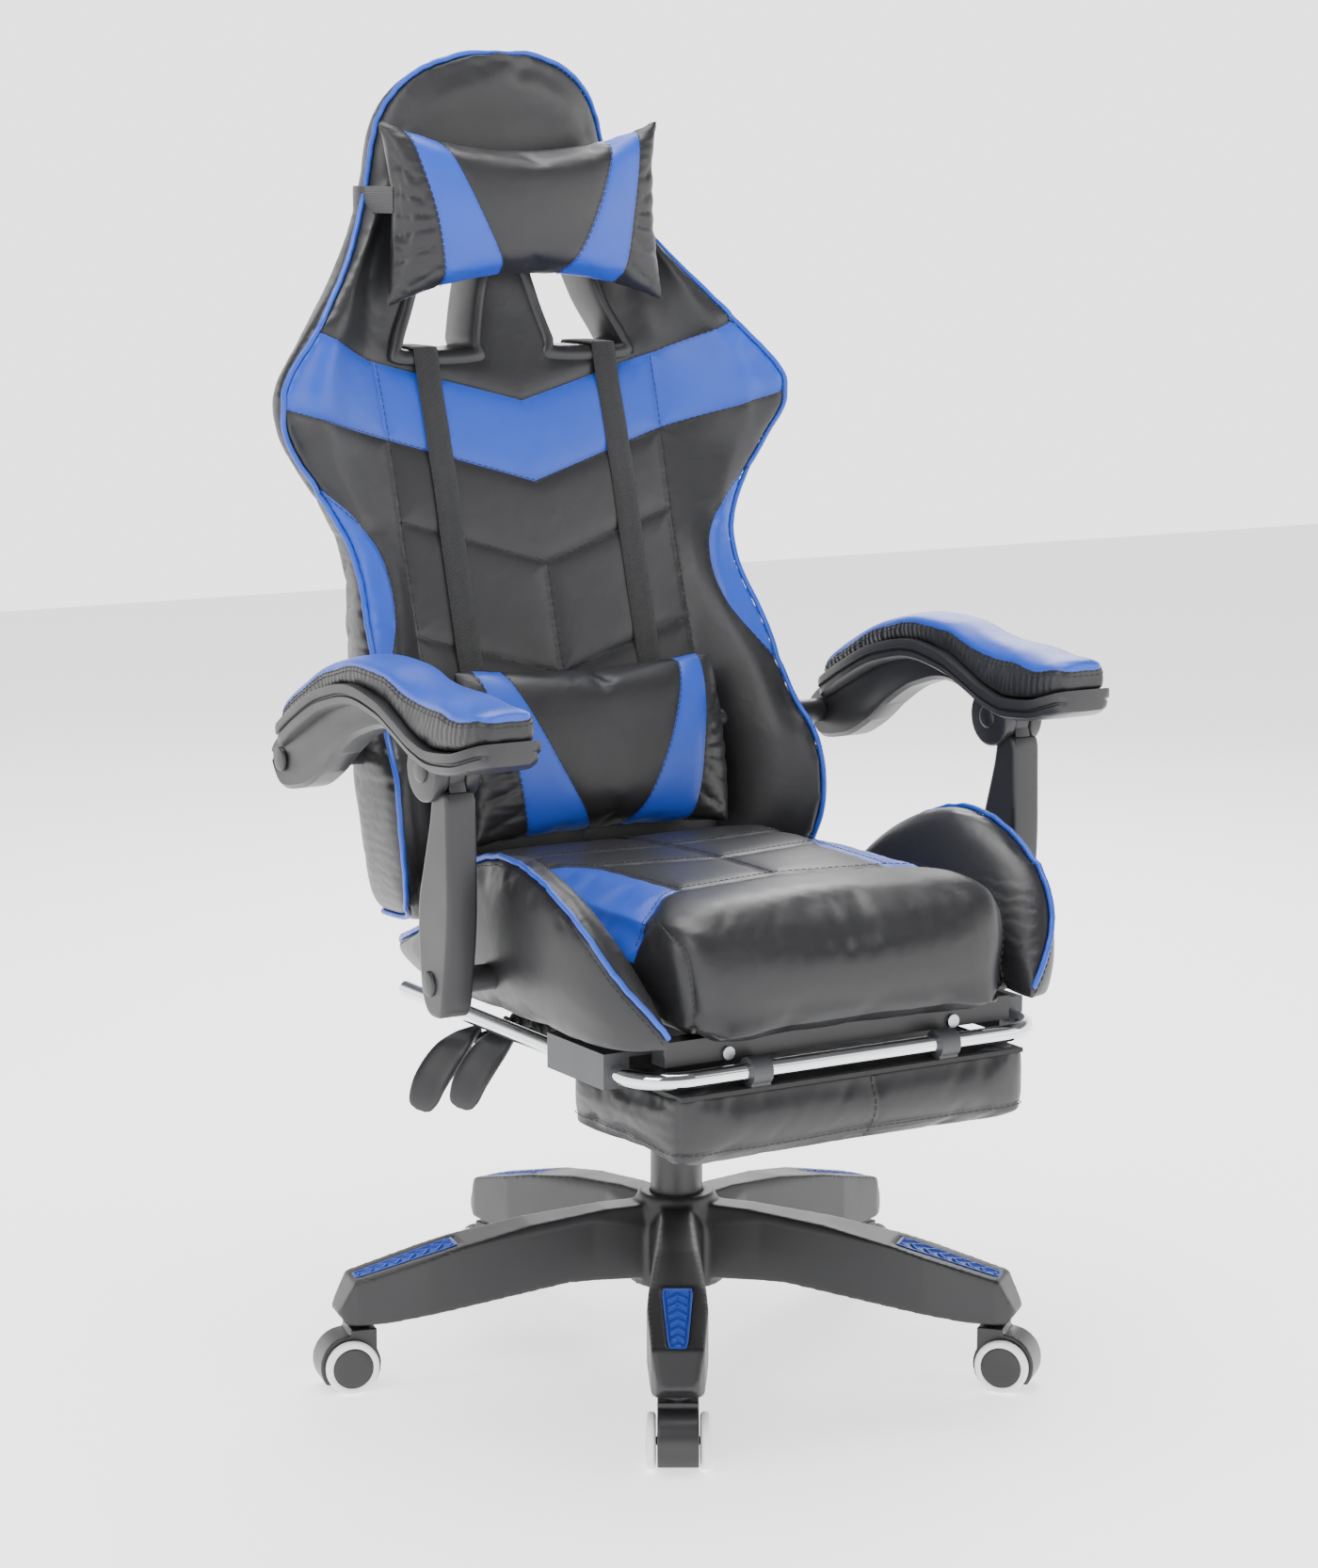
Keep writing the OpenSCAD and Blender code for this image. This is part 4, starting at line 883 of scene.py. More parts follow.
class ChairBack(bpy.types.Operator):
    """Makes the back's cover: middle panel, two wings, piping, seams and the strap holes' bezels"""

    bl_idname = "chair.back"
    bl_label = "Back"

    def execute(self, context):
        sizes, _ = chair()
        # Heights of the rings, from 0 to 1
        levels = [0, 0.012, 0.03, *np.linspace(0.05, 0.95, 46), 0.97, 0.985, 0.996]
        rings = []
        for t in levels:
            half = back_ring(t)
            ring = half + [(-x, y) for x, y in half[-2:0:-1]]
            ring = resample(ring, 96, closed=True)
            tuck = 6 if t == 0 else 0
            rings.append([(x * (1 - tuck / 200), y, back_z(t)) for x, y in ring])
        cover = mesh_object("back_form", *loft(rings), LEATHER, LEATHER_BLUE, LEATHER_GATHERED)
        inflate(cover, 6, sizes.crown / MM, 3, rounding=4)
        tree = surface_tree(cover)
        ahead = (0, 1, 0)

        def flat(line):
            return [(x, 100, z) for x, z in line]

        seams, sewn = [], []
        lines = []
        for line in (BAND_TOP, BAND_FOOT):
            lines += [(s, 1) for s in two_sided(flat(line))]
        for k in range(3):
            tip = 748 - k * QUILT_STEP
            lines += [(s, 1) for s in two_sided(flat([(0, tip), (SEAM_X, tip + 46)]))]
        lines.append((flat([(0, 748), (0, 446)]), 1))
        edges = flat([(SEAM_X + 3, 945), (SEAM_X, 820), (SEAM_X, 440)])
        lines += [(s, 1) for s in two_sided(edges)]
        lines += [(s, 2) for s in two_sided(flat(CRESCENT))]
        for line, kind in lines:
            path, facing = seam_on(tree, line, ahead, rounded=kind == 2)
            seams.append(path)
            sewn.append((path, facing, kind))
        for facing_y in (-1, 1):
            rims = []
            for hole in two_sided(strap_hole(9, 300)):
                hole = resample(np.vstack([hole, hole[:1]]), spacing=4, rounded=False)
                rims.append(on_surface(tree, hole, (0, facing_y, 0))[0])
            if facing_y < 0:
                cut_along(cover, rims, (0, -1, 0))
        cut_along(cover, seams + rims, ahead)
        seams += rims

        # Front edges of the side bands, where the piping lies
        foot = back_ring(0.01)
        edge = [(*foot[10], back_z(0.004)), (*foot[9], back_z(0.004)), (*foot[8], back_z(0.006))]
        for t in np.linspace(0.012, 0.998, 96):
            half = back_ring(t)
            edge.append((half[7][0] - 1, 0.35 * half[6][1] + 0.65 * half[7][1], back_z(t)))
        top = [(-x, y, z) for x, y, z in edge[::-1]]
        around = resample(edge + top, spacing=7)
        rim = nearest(tree, around)[0]
        rim = rim[rim[:, 0] > 0]
        rim = rim[np.argsort(rim[:, 2])]

        def region(place, normal):
            x, y, z = place
            rim_x, rim_y = (np.interp(z, rim[:, 2], rim[:, k]) for k in (0, 1))
            if normal[1] > 0.25 or abs(x) > rim_x - 6 and y > rim_y:
                return 2 if abs(normal[0]) > 0.5 else 0
            if not below(BAND_FOOT, x, z) and below(BAND_TOP, x, z):
                return 1
            return 1 if in_crescent(x, z) else 0

        paint(cover, region)
        crease(cover, seams, 3.4, 7)

        outline, out = nearest(surface_tree(cover), around)
        crease(cover, [outline], 2.2, 4)

        # Folds in the side bands, closest together at the waist
        band_folds = []
        for k, z in enumerate([560, 592, 618, 640, 661, 680, 698, 716, 735, 756, 780, 812, 850]):
            half = back_ring(back_height(z))
            (x0, y0), (x1, y1) = half[7], half[9]
            for side in (-1, 1):
                band_folds.append([
                    (side * x0, y0 + 3, z + 3), (side * x0, 0.5 * (y0 + y1), z - 3 + 5 * (k % 2)),
                    (side * x1, y0 + (0.75 + 0.2 * (k % 3)) * (y1 - y0), z - 6 + 4 * (k % 3))])
        tree = surface_tree(cover)
        crease(cover, [nearest(tree, resample(f, spacing=3))[0] for f in band_folds], 2.2, 3.2)

        hole_plan = np.array([(p[0], p[2]) for p in strap_hole(9, 0)])

        def in_hole(x, z):
            x = abs(x)
            a, b = hole_plan, np.roll(hole_plan, -1, axis=0)
            crossed = ((a[:, 1] > z) != (b[:, 1] > z)) & (
                x < (b[:, 0] - a[:, 0]) * (z - a[:, 1]) / (b[:, 1] - a[:, 1] + TINY) + a[:, 0]
            )
            return crossed.sum() % 2 == 1

        form = bmesh.new()
        form.from_mesh(cover.data)
        ends = hole_plan[:, 1].min() * MM, hole_plan[:, 1].max() * MM
        gone = []
        for f in form.faces:
            x, _, z = f.calc_center_median()
            if ends[0] < z < ends[1] and in_hole(x / MM, z / MM):
                gone.append(f)
        bmesh.ops.delete(form, geom=gone, context="FACES")
        form.to_mesh(cover.data)
        form.free()

        # One form is sewn from three panels: part them along their seams
        def panel(place):
            x, _, z = place
            if abs(x) < SEAM_X or not below(BAND_TOP, x, z):
                return "back_cover_middle"
            return "back_cover_wing_l" if x > 0 else "back_cover_wing_r"

        nodes = {"back_cover_middle": "back_cushion", "back_cover_wing_l": "back_bolster_l",
                 "back_cover_wing_r": "back_bolster_r"}
        for name, node in nodes.items():
            piece = cover.copy()
            piece.data = cover.data.copy()
            piece.name = name
            context.collection.objects.link(piece)
            form = bmesh.new()
            form.from_mesh(piece.data)
            other = [f for f in form.faces if panel(np.array(f.calc_center_median()) / MM) != name]
            bmesh.ops.delete(form, geom=other, context="FACES")
            form.to_mesh(piece.data)
            form.free()
            settle(piece, "back", [node])
        bpy.data.objects.remove(cover)

        piping = mesh_object("back_piping", *cording(outline, out), CORD)
        settle(piping, "back")
        threads = []
        for path, facing, kind in sewn:
            if len(path) > 3:
                threads += stitches(path, facing, offset=2.2 if kind == 2 else 0)
        sewn_on("back_stitching", threads, "back")

        self.bezels()
        return {"FINISHED"}

    def bezels(self):
        """A rounded flange on each face of the back, with a tunnel between them."""
        section = [(0, 0.5), (0, 0.12), (2, 0.02), (6, 0), (10, 0.01), (13, 0.05), (13.5, 0.1),
                   (9, 0.12), (8, 0.5), (8, 0.88), (13.5, 0.9), (13, 0.95), (10, 0.99), (6, 1),
                   (2, 0.98), (0, 0.88)]
        parts = []
        for grow, through in section:
            ring = resample(strap_hole(grow, 0), 72, closed=True)
            placed = []
            for x, _, z in ring:
                t = back_height(z)
                near = BACK_Y0 + smooth(FACE, t) - 9.5
                far = BACK_Y0 + smooth(FACE, t) + smooth(DEPTH, t) + 8
                placed.append((x, near + through * (far - near), z))
            parts.append(placed)
        parts.append(parts[0])
        one = loft(parts, caps=False)
        both = merged(one, mirrored(one))
        piece = mesh_object("strap_hole_bezels", *both, SATIN)
        settle(piece, "back", ["strap_bezels"], angle=50)


# ---------------------------------------------------------------------------------------
# Seat

SEAT_FRONT, SEAT_FOOT, SEAT_HALF = *low("seat_cushion")[1:], high("seat_cushion")[0]
# Side view of the middle cushion, from the lower front edge over the top to the lower rear edge
ROLL = [(18, 0), (4, 10), (0, 32), (0, 62), (8, 88), (26, 104), (58, 109), (120, 109), (260, 109),
        (390, 103), (450, 96), (478, 84), (481, 50), (476, 10), (466, 0)]
# Crest of a side bolster: distance from the middle, from the front, and height over the seat frame
CREST = [(192, 3, 9), (202, 6, 22), (214, 12, 38), (228, 22, 56), (240, 38, 80), (248, 62, 106),
         (252, 92, 126), (254, 130, 143), (256, 172, 153), (256, 210, 152), (256, 250, 142),
         (255, 290, 124), (252, 330, 92), (246, 375, 60), (236, 420, 40), (222, 460, 24),
         (212, 474, 12)]


class ChairSeat(bpy.types.Operator):
    """Makes the seat: the quilted middle cushion, its two side bolsters, piping and stitching"""

    bl_idname = "chair.seat"
    bl_label = "Seat"

    def execute(self, context):
        self.middle()
        self.bolsters()
        return {"FINISHED"}

    def middle(self):
        sizes, _ = chair()
        rings = []
        for u in np.concatenate([[-1], np.linspace(-0.985, 0.985, 34), [1]]):
            shrink = 6 * abs(u) ** 14
            ring = resample([(y, z) for y, z in ROLL], 70, closed=True)
            middle = ring.mean(axis=0)
            ring = middle + (ring - middle) * (1 - shrink / 60)
            rings.append([(u * (SEAT_HALF - 3), SEAT_FRONT + 2 + y * 0.985, SEAT_FOOT + z)
                          for y, z in ring])
        cushion = mesh_object("seat_cover_middle", *loft(rings), LEATHER, LEATHER_BLUE)
        inflate(cushion, 5.5, sizes.crown / MM + 2, 5, rounding=8)
        tree = surface_tree(cushion)
        down = (0, 0, -1)
        front = SEAT_FRONT + 146
        over = 520  # a height over the cushion, from where the lines are dropped onto it
        sewn = [
            [(0, front), (112, front - 20), (188, front - 62)],
            [(112, front - 20), (119, front + 105), (150, front + 176), (188, front + 186)],
            [(0, front + 92), (118, front + 116)],
            [(0, front + 184), (146, front + 206)],
        ]
        lines = [one for line in sewn for one in two_sided([(x, y, over) for x, y in line])]
        lines.append(np.array([(0, front, over), (0, front + 300, over)]))
        paths, threads = [], []
        for line in lines:
            path, facing = seam_on(tree, line, down)
            paths.append(path)
            threads += stitches(path, facing)
        cut_along(cushion, paths, down)
        # The front panel's sides: sewn edges that run down the cushion's two front corners
        corners = []
        for side in (-1, 1):
            edge = [(side * (SEAT_HALF - 2), SEAT_FRONT + y, SEAT_FOOT + z)
                    for y, z in resample([(84, 112), (50, 106), (18, 92), (4, 70), (0, 30), (8, 4)],
                                         spacing=4)]
            path, facing = nearest(tree, edge)
            paths.append(path)
            corners.append(path)
            threads += stitches(path, facing)
        outer = [(112, front - 20), (119, front + 105), (150, front + 176), (190, front + 186)]

        def region(place, normal):
            x, y, _ = place
            if normal[2] < 0.1 or abs(x) < 105:
                return 0
            inside = np.interp(y, [p[1] for p in outer], [p[0] for p in outer])
            ahead = np.interp(abs(x), [112, 188], [front - 20, front - 62])
            return 1 if y > ahead and abs(x) > inside and y < front + 186 else 0

        paint(cushion, region)
        crease(cushion, paths, 3.6, 8)
        settle(cushion, "seat", ["seat_cushion"])
        sewn_on("seat_stitching", threads, "seat")

    def bolsters(self):
        sizes, _ = chair()
        foot = low("seat_bolster_l")[2]
        inner = low("seat_bolster_l")[0] + 1
        crest = resample(CREST, 46)
        rings = []
        for x, y, z in crest:
            z0, z1 = foot, SEAT_FOOT + z
            tall = z1 - z0
            plump = np.interp(y, [0, 60, 200, 400, 474], [3, 8, 12, 8, 3])
            belly = x + np.interp(y, [0, 40, 120, 340, 474], [1, 2, 3, 3, 2])
            lean = np.interp(y, [0, 60, 160, 474], [1.5, 9, 13, 10])
            reach = x - inner
            ring = [
                (inner, z0), (inner, z0 + 0.35 * tall), (inner + 0.15 * reach, z0 + 0.62 * tall),
                (inner + 0.5 * reach - 1, z0 + 0.88 * tall), (x - 6, z1 - 1), (x - 1, z1),
                (belly + 0.4, z1 - 6), (belly + plump * 0.2, z0 + 0.6 * tall),
                (belly, z0 + 0.35 * tall), (x - lean * 0.5, z0 + 0.1 * tall + 2), (x - lean, z0),
                (0.5 * (inner + x - lean), z0),
            ]
            ring = resample(ring, 48, closed=True)
            rings.append([(px, SEAT_FRONT + y, pz) for px, pz in ring])
        form = mesh_object("seat_bolster_form", *loft(rings), LEATHER,
                           LEATHER_GATHERED)
        inflate(form, 5, sizes.crown / MM, 2.5, rounding=3)
        line = [(x + 1, SEAT_FRONT + y, SEAT_FOOT + z + 1) for x, y, z in crest]
        path, facing = nearest(surface_tree(form), resample(line, spacing=6))
        crease(form, [path], 2.2, 5)
        tree = surface_tree(form)
        paint(form, lambda place, normal: int(normal[0] < -0.3 and place[2] < SEAT_FOOT + 96))
        # A row of stitches beside the piping, on the outer wall
        below_cord, wall = nearest(tree, path + [0, 0, -7] + [3, 0, 0])
        sewn = merged(*stitches(below_cord, wall))
        cord = cording(path, facing)
        both_sides(form, "seat_cover_bolster", "seat", "seat_bolster_{}")
        for side in "lr":
            beside(cord, "seat_piping", side, CORD, "seat", angle=None)
            beside(sewn, "seat_bolster_stitching", side, THREAD, "seat", angle=None)


# ---------------------------------------------------------------------------------------
# Pillows and straps


def pillow_form(name, centre, size, tilt, waist, ears, corner):
    """A closed pillow: thick in the middle and thin at its edges, with hollow long sides."""
    width, height, thick = size
    n, m = 44, 28
    points, faces = [], []
    for face in (-1, 1):
        for i in range(n + 1):
            for j in range(m + 1):
                u, v = 2 * i / n - 1, 2 * j / m - 1
                x = width / 2 * u * (1 + ears * v * v)
                z = height / 2 * v * (1 - waist * (1 - u * u))
                edge = (1 - abs(u) ** corner * 0.97) ** 0.55 * (1 - abs(v) ** 2 * 0.985) ** 0.5
                points.append((x, face * thick / 2 * edge, z))
    row = (n + 1) * (m + 1)
    for i in range(n):
        for j in range(m):
            a = i * (m + 1) + j
            quad = (a, a + 1, a + m + 2, a + m + 1)
            faces.append(quad[::-1])
            faces.append(tuple(v + row for v in quad))
    rim = [i * (m + 1) for i in range(n)] + [n * (m + 1) + j for j in range(m)]
    rim += [i * (m + 1) + m for i in range(n, 0, -1)] + [m - j for j in range(m)]
    for a, b in zip(rim, rim[1:] + rim[:1]):
        faces.append((a, b, b + row, a + row))
    turn = np.array(Matrix.Rotation(math.radians(-tilt), 3, "X"))
    points = np.array(points) @ turn.T + np.array(centre)
    return mesh_object(name, points, faces, LEATHER,
                       LEATHER_BLUE, LEATHER_GATHERED)


# Sewn lines of the pillows' pattern, as shares of half the width and height
PILLOW_V = [(0.085, -1.0), (0.2, -0.72), (0.31, -0.4), (0.43, 0.0), (0.55, 0.45), (0.69, 1.0)]
PILLOW_SIDE = [(0.62, -1.0), (0.68, -0.6), (0.74, 0.0), (0.82, 0.55), (0.88, 1.0)]
# Short folds that run in from the ends
PILLOW_PUCKERS = [[(0.97, 0.55), (0.87, 0.38)], [(0.99, 0.25), (0.84, 0.16)],
                  [(0.99, 0.02), (0.8, 0.0)], [(0.98, -0.22), (0.78, -0.14)],
                  [(0.96, -0.48), (0.76, -0.32)], [(0.9, -0.78), (0.72, -0.6)]]


class ChairPillows(bpy.types.Operator):
    """Makes the head pillow and the lumbar pillow with their two-tone pattern"""

    bl_idname = "chair.pillows"
    bl_label = "Pillows"

    def execute(self, context):
        # Tilt, waist, ears, roundness of the ends, and how far the form starts inside its size
        self.pillow("head_pillow", "head_cushion", 4, 0.25, 0.05, 2.4, 3)
        self.pillow("lumbar_pillow", "lumbar_cushion", 12, 0.0, 0.0, 7, 4)
        return {"FINISHED"}

    def pillow(self, node, name, tilt, waist, ears, corner, inset):
        sizes, _ = chair()
        lowest, highest = low(node), high(node)
        centre = (lowest + highest) / 2
        width, thick, height = highest - lowest
        size = (width + 14, height + 14, 0.86 * thick)
        piece = pillow_form(name, centre, size, tilt, waist, ears, corner)
        inflate(piece, 4.5, sizes.crown / MM + 4, inset, rounding=2)
        tree = surface_tree(piece)
        ahead = (0, 1, 0)

        def place(line):
            return [(centre[0] + u * width / 2, lowest[1] - 50, centre[2] + v * height / 2)
                    for u, v in line]

        paths, threads = [], []
        inner, side = resample(PILLOW_V, 60), resample(PILLOW_SIDE, 60)
        for line in (inner, side):
            for one in two_sided(place(line)):
                path, facing = seam_on(tree, one, ahead)
                paths.append(path)
                threads += stitches(path, facing)
        cut_along(piece, paths, ahead)

        def region(at, normal):
            u = abs(at[0] - centre[0]) / (width / 2)
            v = (at[2] - centre[2]) / (height / 2)
            if normal[1] > 0.2:
                return 0
            if u > np.interp(v, side[:, 1], side[:, 0]):
                return 2
            return 1 if u > np.interp(v, inner[:, 1], inner[:, 0]) else 0

        paint(piece, region)
        crease(piece, paths, 1.8, 5)
        puckers = []
        for line in PILLOW_PUCKERS:
            puckers += [seam_on(tree, one, ahead)[0] for one in two_sided(place(line))]
        crease(piece, [p for p in puckers if len(p) > 1], 2.6, 3.5)
        settle(piece, "back", [node])
        sewn_on(name + "_stitching", threads, "back")


# ---------------------------------------------------------------------------------------
# Armrests

# Pivots as (y, z): strut on the seat, link on the strut, link on the back
PIVOT_A = (low("arm_upright_l")[1] + 36, low("arm_upright_l")[2] + 28)
PIVOT_B = tuple(((low("arm_front_pin_l") + high("arm_front_pin_l")) / 2)[1:])
PIVOT_C = (low("arm_rear_mounts")[1] + 16,
           (low("arm_rear_mounts")[2] + high("arm_rear_mounts")[2]) / 2)
ARM_X = (low("arm_link_l")[0] + high("arm_link_l")[0]) / 2
# Line under the pad and the pad's thickness, over the distance behind the front pivot
PAD_FOOT = [(-124, 38), (-84, 26), (-44, 23), (-10, 29), (24, 41), (64, 54), (118, 61), (180, 50),
            (244, 24), (292, 0)]
PAD_RISE = [(-124, 33), (-84, 41), (-44, 48), (-10, 43), (24, 36), (64, 32), (118, 28), (292, 24)]
PAD_HALF = [(-124, 33), (-79, 39), (60, 35), (220, 31), (292, 26)]
# Underside of the arch between the knuckle and the rear pivot
ARCH_FOOT = [(-30, 6), (0, 4), (24, 8), (49, 18), (85, 24), (139, 12), (182, -10), (220, -36),
             (260, -54), (300, -60), (322, -50)]
# Side view of the strut round its lower pivot
STRUT = [(-18, -28), (-2, -30), (8, -26), (17, -10), (21, 18), (23, 46), (21, 74), (14, 98),
         (8, 117), (-1, 146), (-6, 168), (-14, 175), (-30, 175), (-35, 168), (-36, 140), (-37, 80),
         (-34, 40), (-28, 4), (-24, -18)]


def trimmed(outline, by):
    """A closed outline moved inwards by a distance."""
    ahead, behind = np.roll(outline, -1, axis=0), np.roll(outline, 1, axis=0)
    along = ahead - behind
    along /= np.maximum(np.linalg.norm(along, axis=1, keepdims=True), TINY)
    area = np.sum(outline[:, 0] * ahead[:, 1] - ahead[:, 0] * outline[:, 1])
    inward = np.stack([-along[:, 1], along[:, 0]], axis=1) * (1 if area > 0 else -1)
    return outline + inward * by


def plate(outline, x0, x1, edge):
    """A slab across X with rounded edges, from its side view."""
    outline = np.array(outline, float)
    rings = []
    for face, sign in ((x0, 1), (x1, -1)):
        some = []
        for more, turn in ((0.4, 0), (0, 0), (0, 30), (0, 60), (0, 90)):
            by = edge * (1 + more - math.sin(math.radians(turn)))
            deep = edge * (1 - math.cos(math.radians(turn)))
            some.append([(face + sign * deep, y, z) for y, z in trimmed(outline, by)])
        rings += some if sign > 0 else some[::-1]
    return loft(rings)


def lathe(profile, sides=48):
    """Points and faces turned round the X axis from (distance along it, radius) rows."""
    turn = np.linspace(0, 2 * math.pi, sides, endpoint=False)
    return loft([[(x, r * math.cos(a), r * math.sin(a)) for a in turn] for x, r in profile])


def disc(y, z, x0, x1, radius, edge):
    """A round plate across X with rounded edges."""
    turn = np.radians([0, 30, 60, 90])
    side = [(edge * (1 - math.cos(a)), radius - edge * (1 - math.sin(a))) for a in turn]
    profile = [(x0, 0.1)] + [(x0 + d, r) for d, r in side] + [(x1 - d, r) for d, r in side[::-1]]
    points, faces = lathe(profile + [(x1, 0.1)])
    return points + [0, y, z], faces


def cap(y, z, x, out, radius=11.5):
    """A domed cap on the end of a pivot, facing along X."""
    profile = [(0, radius), (1.6, radius), (2.6, radius - 0.9), (3.2, 0.7 * radius), (3.6, 0.1)]
    points, faces = lathe([(0, 0.1)] + profile, 32)
    return points * [out, 1, 1] + [x, y, z], faces if out > 0 else [f[::-1] for f in faces]


class ChairArmrests(bpy.types.Operator):
    """Makes the armrests: bowed struts, arched links with their knuckles, and two-tone pads"""

    bl_idname = "chair.armrests"
    bl_label = "Armrests"

    def execute(self, context):
        a, b, c = PIVOT_A, PIVOT_B, PIVOT_C
        strut = resample([(a[0] + y, a[1] + z) for y, z in STRUT], 72, closed=True)
        half = (high("arm_upright_l")[0] - low("arm_upright_l")[0]) / 2
        tongue = 8
        neck = [(b[0] + y, b[1] + z) for y, z in ((-30, -26), (-12, -26), (-4, -8), (-24, -6))]
        neck = resample(neck, 24, closed=True, rounded=False)
        upright = merged(
            plate(strut, ARM_X - half, ARM_X + half, 4),
            plate(neck, ARM_X - tongue, ARM_X + tongue, 1),
            disc(*b, ARM_X - tongue, ARM_X + tongue, 27, 1.5),
        )
        link = merged(self.shelf(b), self.arch(b, half), *[
            disc(*b, ARM_X + s - 7, ARM_X + s + 7, 29, 3) for s in (-15.2, 15.2)
        ])
        lower_cap = cap(*a, ARM_X + half, 1)
        rear_cap = cap(*c, ARM_X + half, 1)
        knuckle_caps = merged(cap(*b, ARM_X + 22, 1), cap(*b, ARM_X - 22, -1))
        for side in ("l", "r"):
            strut_body, link_body = "arm_upright_" + side, "arm_link_" + side
            for part, name, finish_name, body, nodes, angle in (
                (upright, "armrest_strut", SATIN, strut_body, [strut_body], 40),
                (link, "armrest_arch", SATIN, link_body, [link_body], 40),
                (lower_cap, "armrest_lower_cap", BLACK, "seat", (), 60),
                (rear_cap, "armrest_rear_cap", BLACK, "back", (), 60),
                (knuckle_caps, "armrest_knuckle_caps", BLACK, link_body, (), 60),
            ):
                beside(part, name, side, finish_name, body, nodes, angle)
        self.pads(b)
        return {"FINISHED"}

    def shelf(self, b):
        """The shelf under the pad: two lips with a groove between them."""
        rings = []
        for s in self.stations():
            w, z = self.half(s), b[1] + smooth(PAD_FOOT, s)
            right = [(w + 2, z + 1), (w + 2.6, z - 1), (w + 2.4, z - 7), (w - 1.5, z - 8.5),
                     (w - 1.5, z - 9.5), (w + 0.4, z - 11), (w - 0.6, z - 16), (w - 5, z - 19)]
            ring = [(0, z + 1)] + right + [(0, z - 19.5)] + [(-x, h) for x, h in right[::-1]]
            rings.append([(ARM_X + x, b[0] + s, h) for x, h in ring])
        return loft(rings)

    def arch(self, b, half):
        """The arched link from the knuckle to the rear pivot, with a shallow panel in its sides."""
        rings = []
        for s in np.concatenate([[-30], np.linspace(-28, 317, 60), [321, 322]]):
            top, foot = b[1] + smooth(PAD_FOOT, min(s, 292)) - 8, b[1] + smooth(ARCH_FOOT, s)
            shrink = max(0, s - 300) / 22
            top -= 14 * shrink**2
            foot += 10 * shrink**3
            tall = top - foot
            right = [(half - 3, top), (half, top - 3), (half, top - 0.3 * tall),
                     (half - 1.5, top - 0.38 * tall), (half - 1.5, foot + 0.3 * tall),
                     (half, foot + 0.2 * tall), (half, foot + 4), (half - 4, foot)]
            ring = right + [(-x, h) for x, h in right[::-1]]
            rings.append([(ARM_X + x, b[0] + s, h) for x, h in ring])
        return loft(rings)

    def stations(self):
        """Places along the pad, closest together at its rounded ends."""
        front = -124 + 24 * (1 - np.cos(np.radians([0, 25, 45, 65, 80])))
        rear = 292 - 8 * (1 - np.cos(np.radians([70, 40, 0])))
        return np.concatenate([front, np.linspace(-98, 282, 60), rear])

    def half(self, s):
        """Half the plan's width, rounded off towards the front and the rear end."""
        w = smooth(PAD_HALF, s)
        nose = np.clip((s + 124) / 26, 0, 1)
        tail = np.clip((292 - s) / 9, 0, 1)
        w *= 0.66 + 0.34 * math.sqrt(1 - (1 - nose) ** 2)
        return float(w * (0.8 + 0.2 * math.sqrt(tail)))

    def pads(self, b):
        """The pads: a blue top and black, gathered sides, sewn together all round."""
        rings = []
        for s in self.stations():
            w = self.half(s) - 1
            foot, rise = b[1] + smooth(PAD_FOOT, s), smooth(PAD_RISE, s)
            rise *= 0.8 + 0.2 * min(1, (s + 124) / 12) ** 0.5
            rise *= 0.7 + 0.3 * min(1, (292 - s) / 14) ** 0.5
            top = foot + rise
            right = [(0, foot - 1), (0.8 * w, foot - 1), (w, foot + 3),
                     (w + 0.5, foot + 0.45 * rise), (w - 1, top - 8), (w - 6, top - 3.5),
                     (0.5 * w, top - 1), (0, top)]
            ring = right + [(-x, h) for x, h in right[-2:0:-1]]
            ring = resample(ring, 44, closed=True)
            rings.append([(ARM_X + x, b[0] + s, h) for x, h in ring])
        form = mesh_object("arm_pad_form", *loft(rings), LEATHER_BLUE, LEATHER_SHIRRED)
        inflate(form, 4, 5, 3, rounding=3)
        # The seam round the top, at the same depth below it all the way
        loop = []
        for s in np.linspace(-118, 288, 90):
            w = self.half(s) + 4
            top = b[1] + smooth(PAD_FOOT, s) + smooth(PAD_RISE, s)
            loop.append((ARM_X + w, b[0] + s, top - 8.5))
        nose = [(ARM_X + x, b[0] - 128, loop[0][2] - 5) for x in (16, 0, -16)]
        tail = [(ARM_X + x, b[0] + 296, loop[-1][2]) for x in (-12, 12)]
        back_again = [(2 * ARM_X - x, y, z) for x, y, z in loop]
        points = resample(loop[::-1] + nose + back_again + tail, spacing=3, closed=True)
        tree = surface_tree(form)
        path, facing = nearest(tree, points)
        closed = np.vstack([path, path[:1]])
        cut_along(form, [closed], None)
        finder = KDTree(len(path))
        for i, p in enumerate(path):
            finder.insert(Vector(p), i)
        finder.balance()

        paint(form, lambda place, normal: 0 if place[2] > finder.find(Vector(place))[0][2] else 1)
        crease(form, [path], 1.6, 3.5)
        tree = surface_tree(form)
        out = facing * [1, 1, 0]
        lower, lower_facing = nearest(tree, path - [0, 0, 4.5] + out * 2)
        upper, upper_facing = nearest(tree, path - [0, 0, 0.6] + out)
        sewn = merged(*stitches(lower, lower_facing), *stitches(upper, upper_facing))
        both_sides(form, "arm_pad_cover", "arm_link_{}", "arm_pad_{}")
        for side in "lr":
            beside(sewn, "arm_pad_stitching", side, THREAD, "arm_link_" + side,
                   angle=None)


# ---------------------------------------------------------------------------------------
# Straps


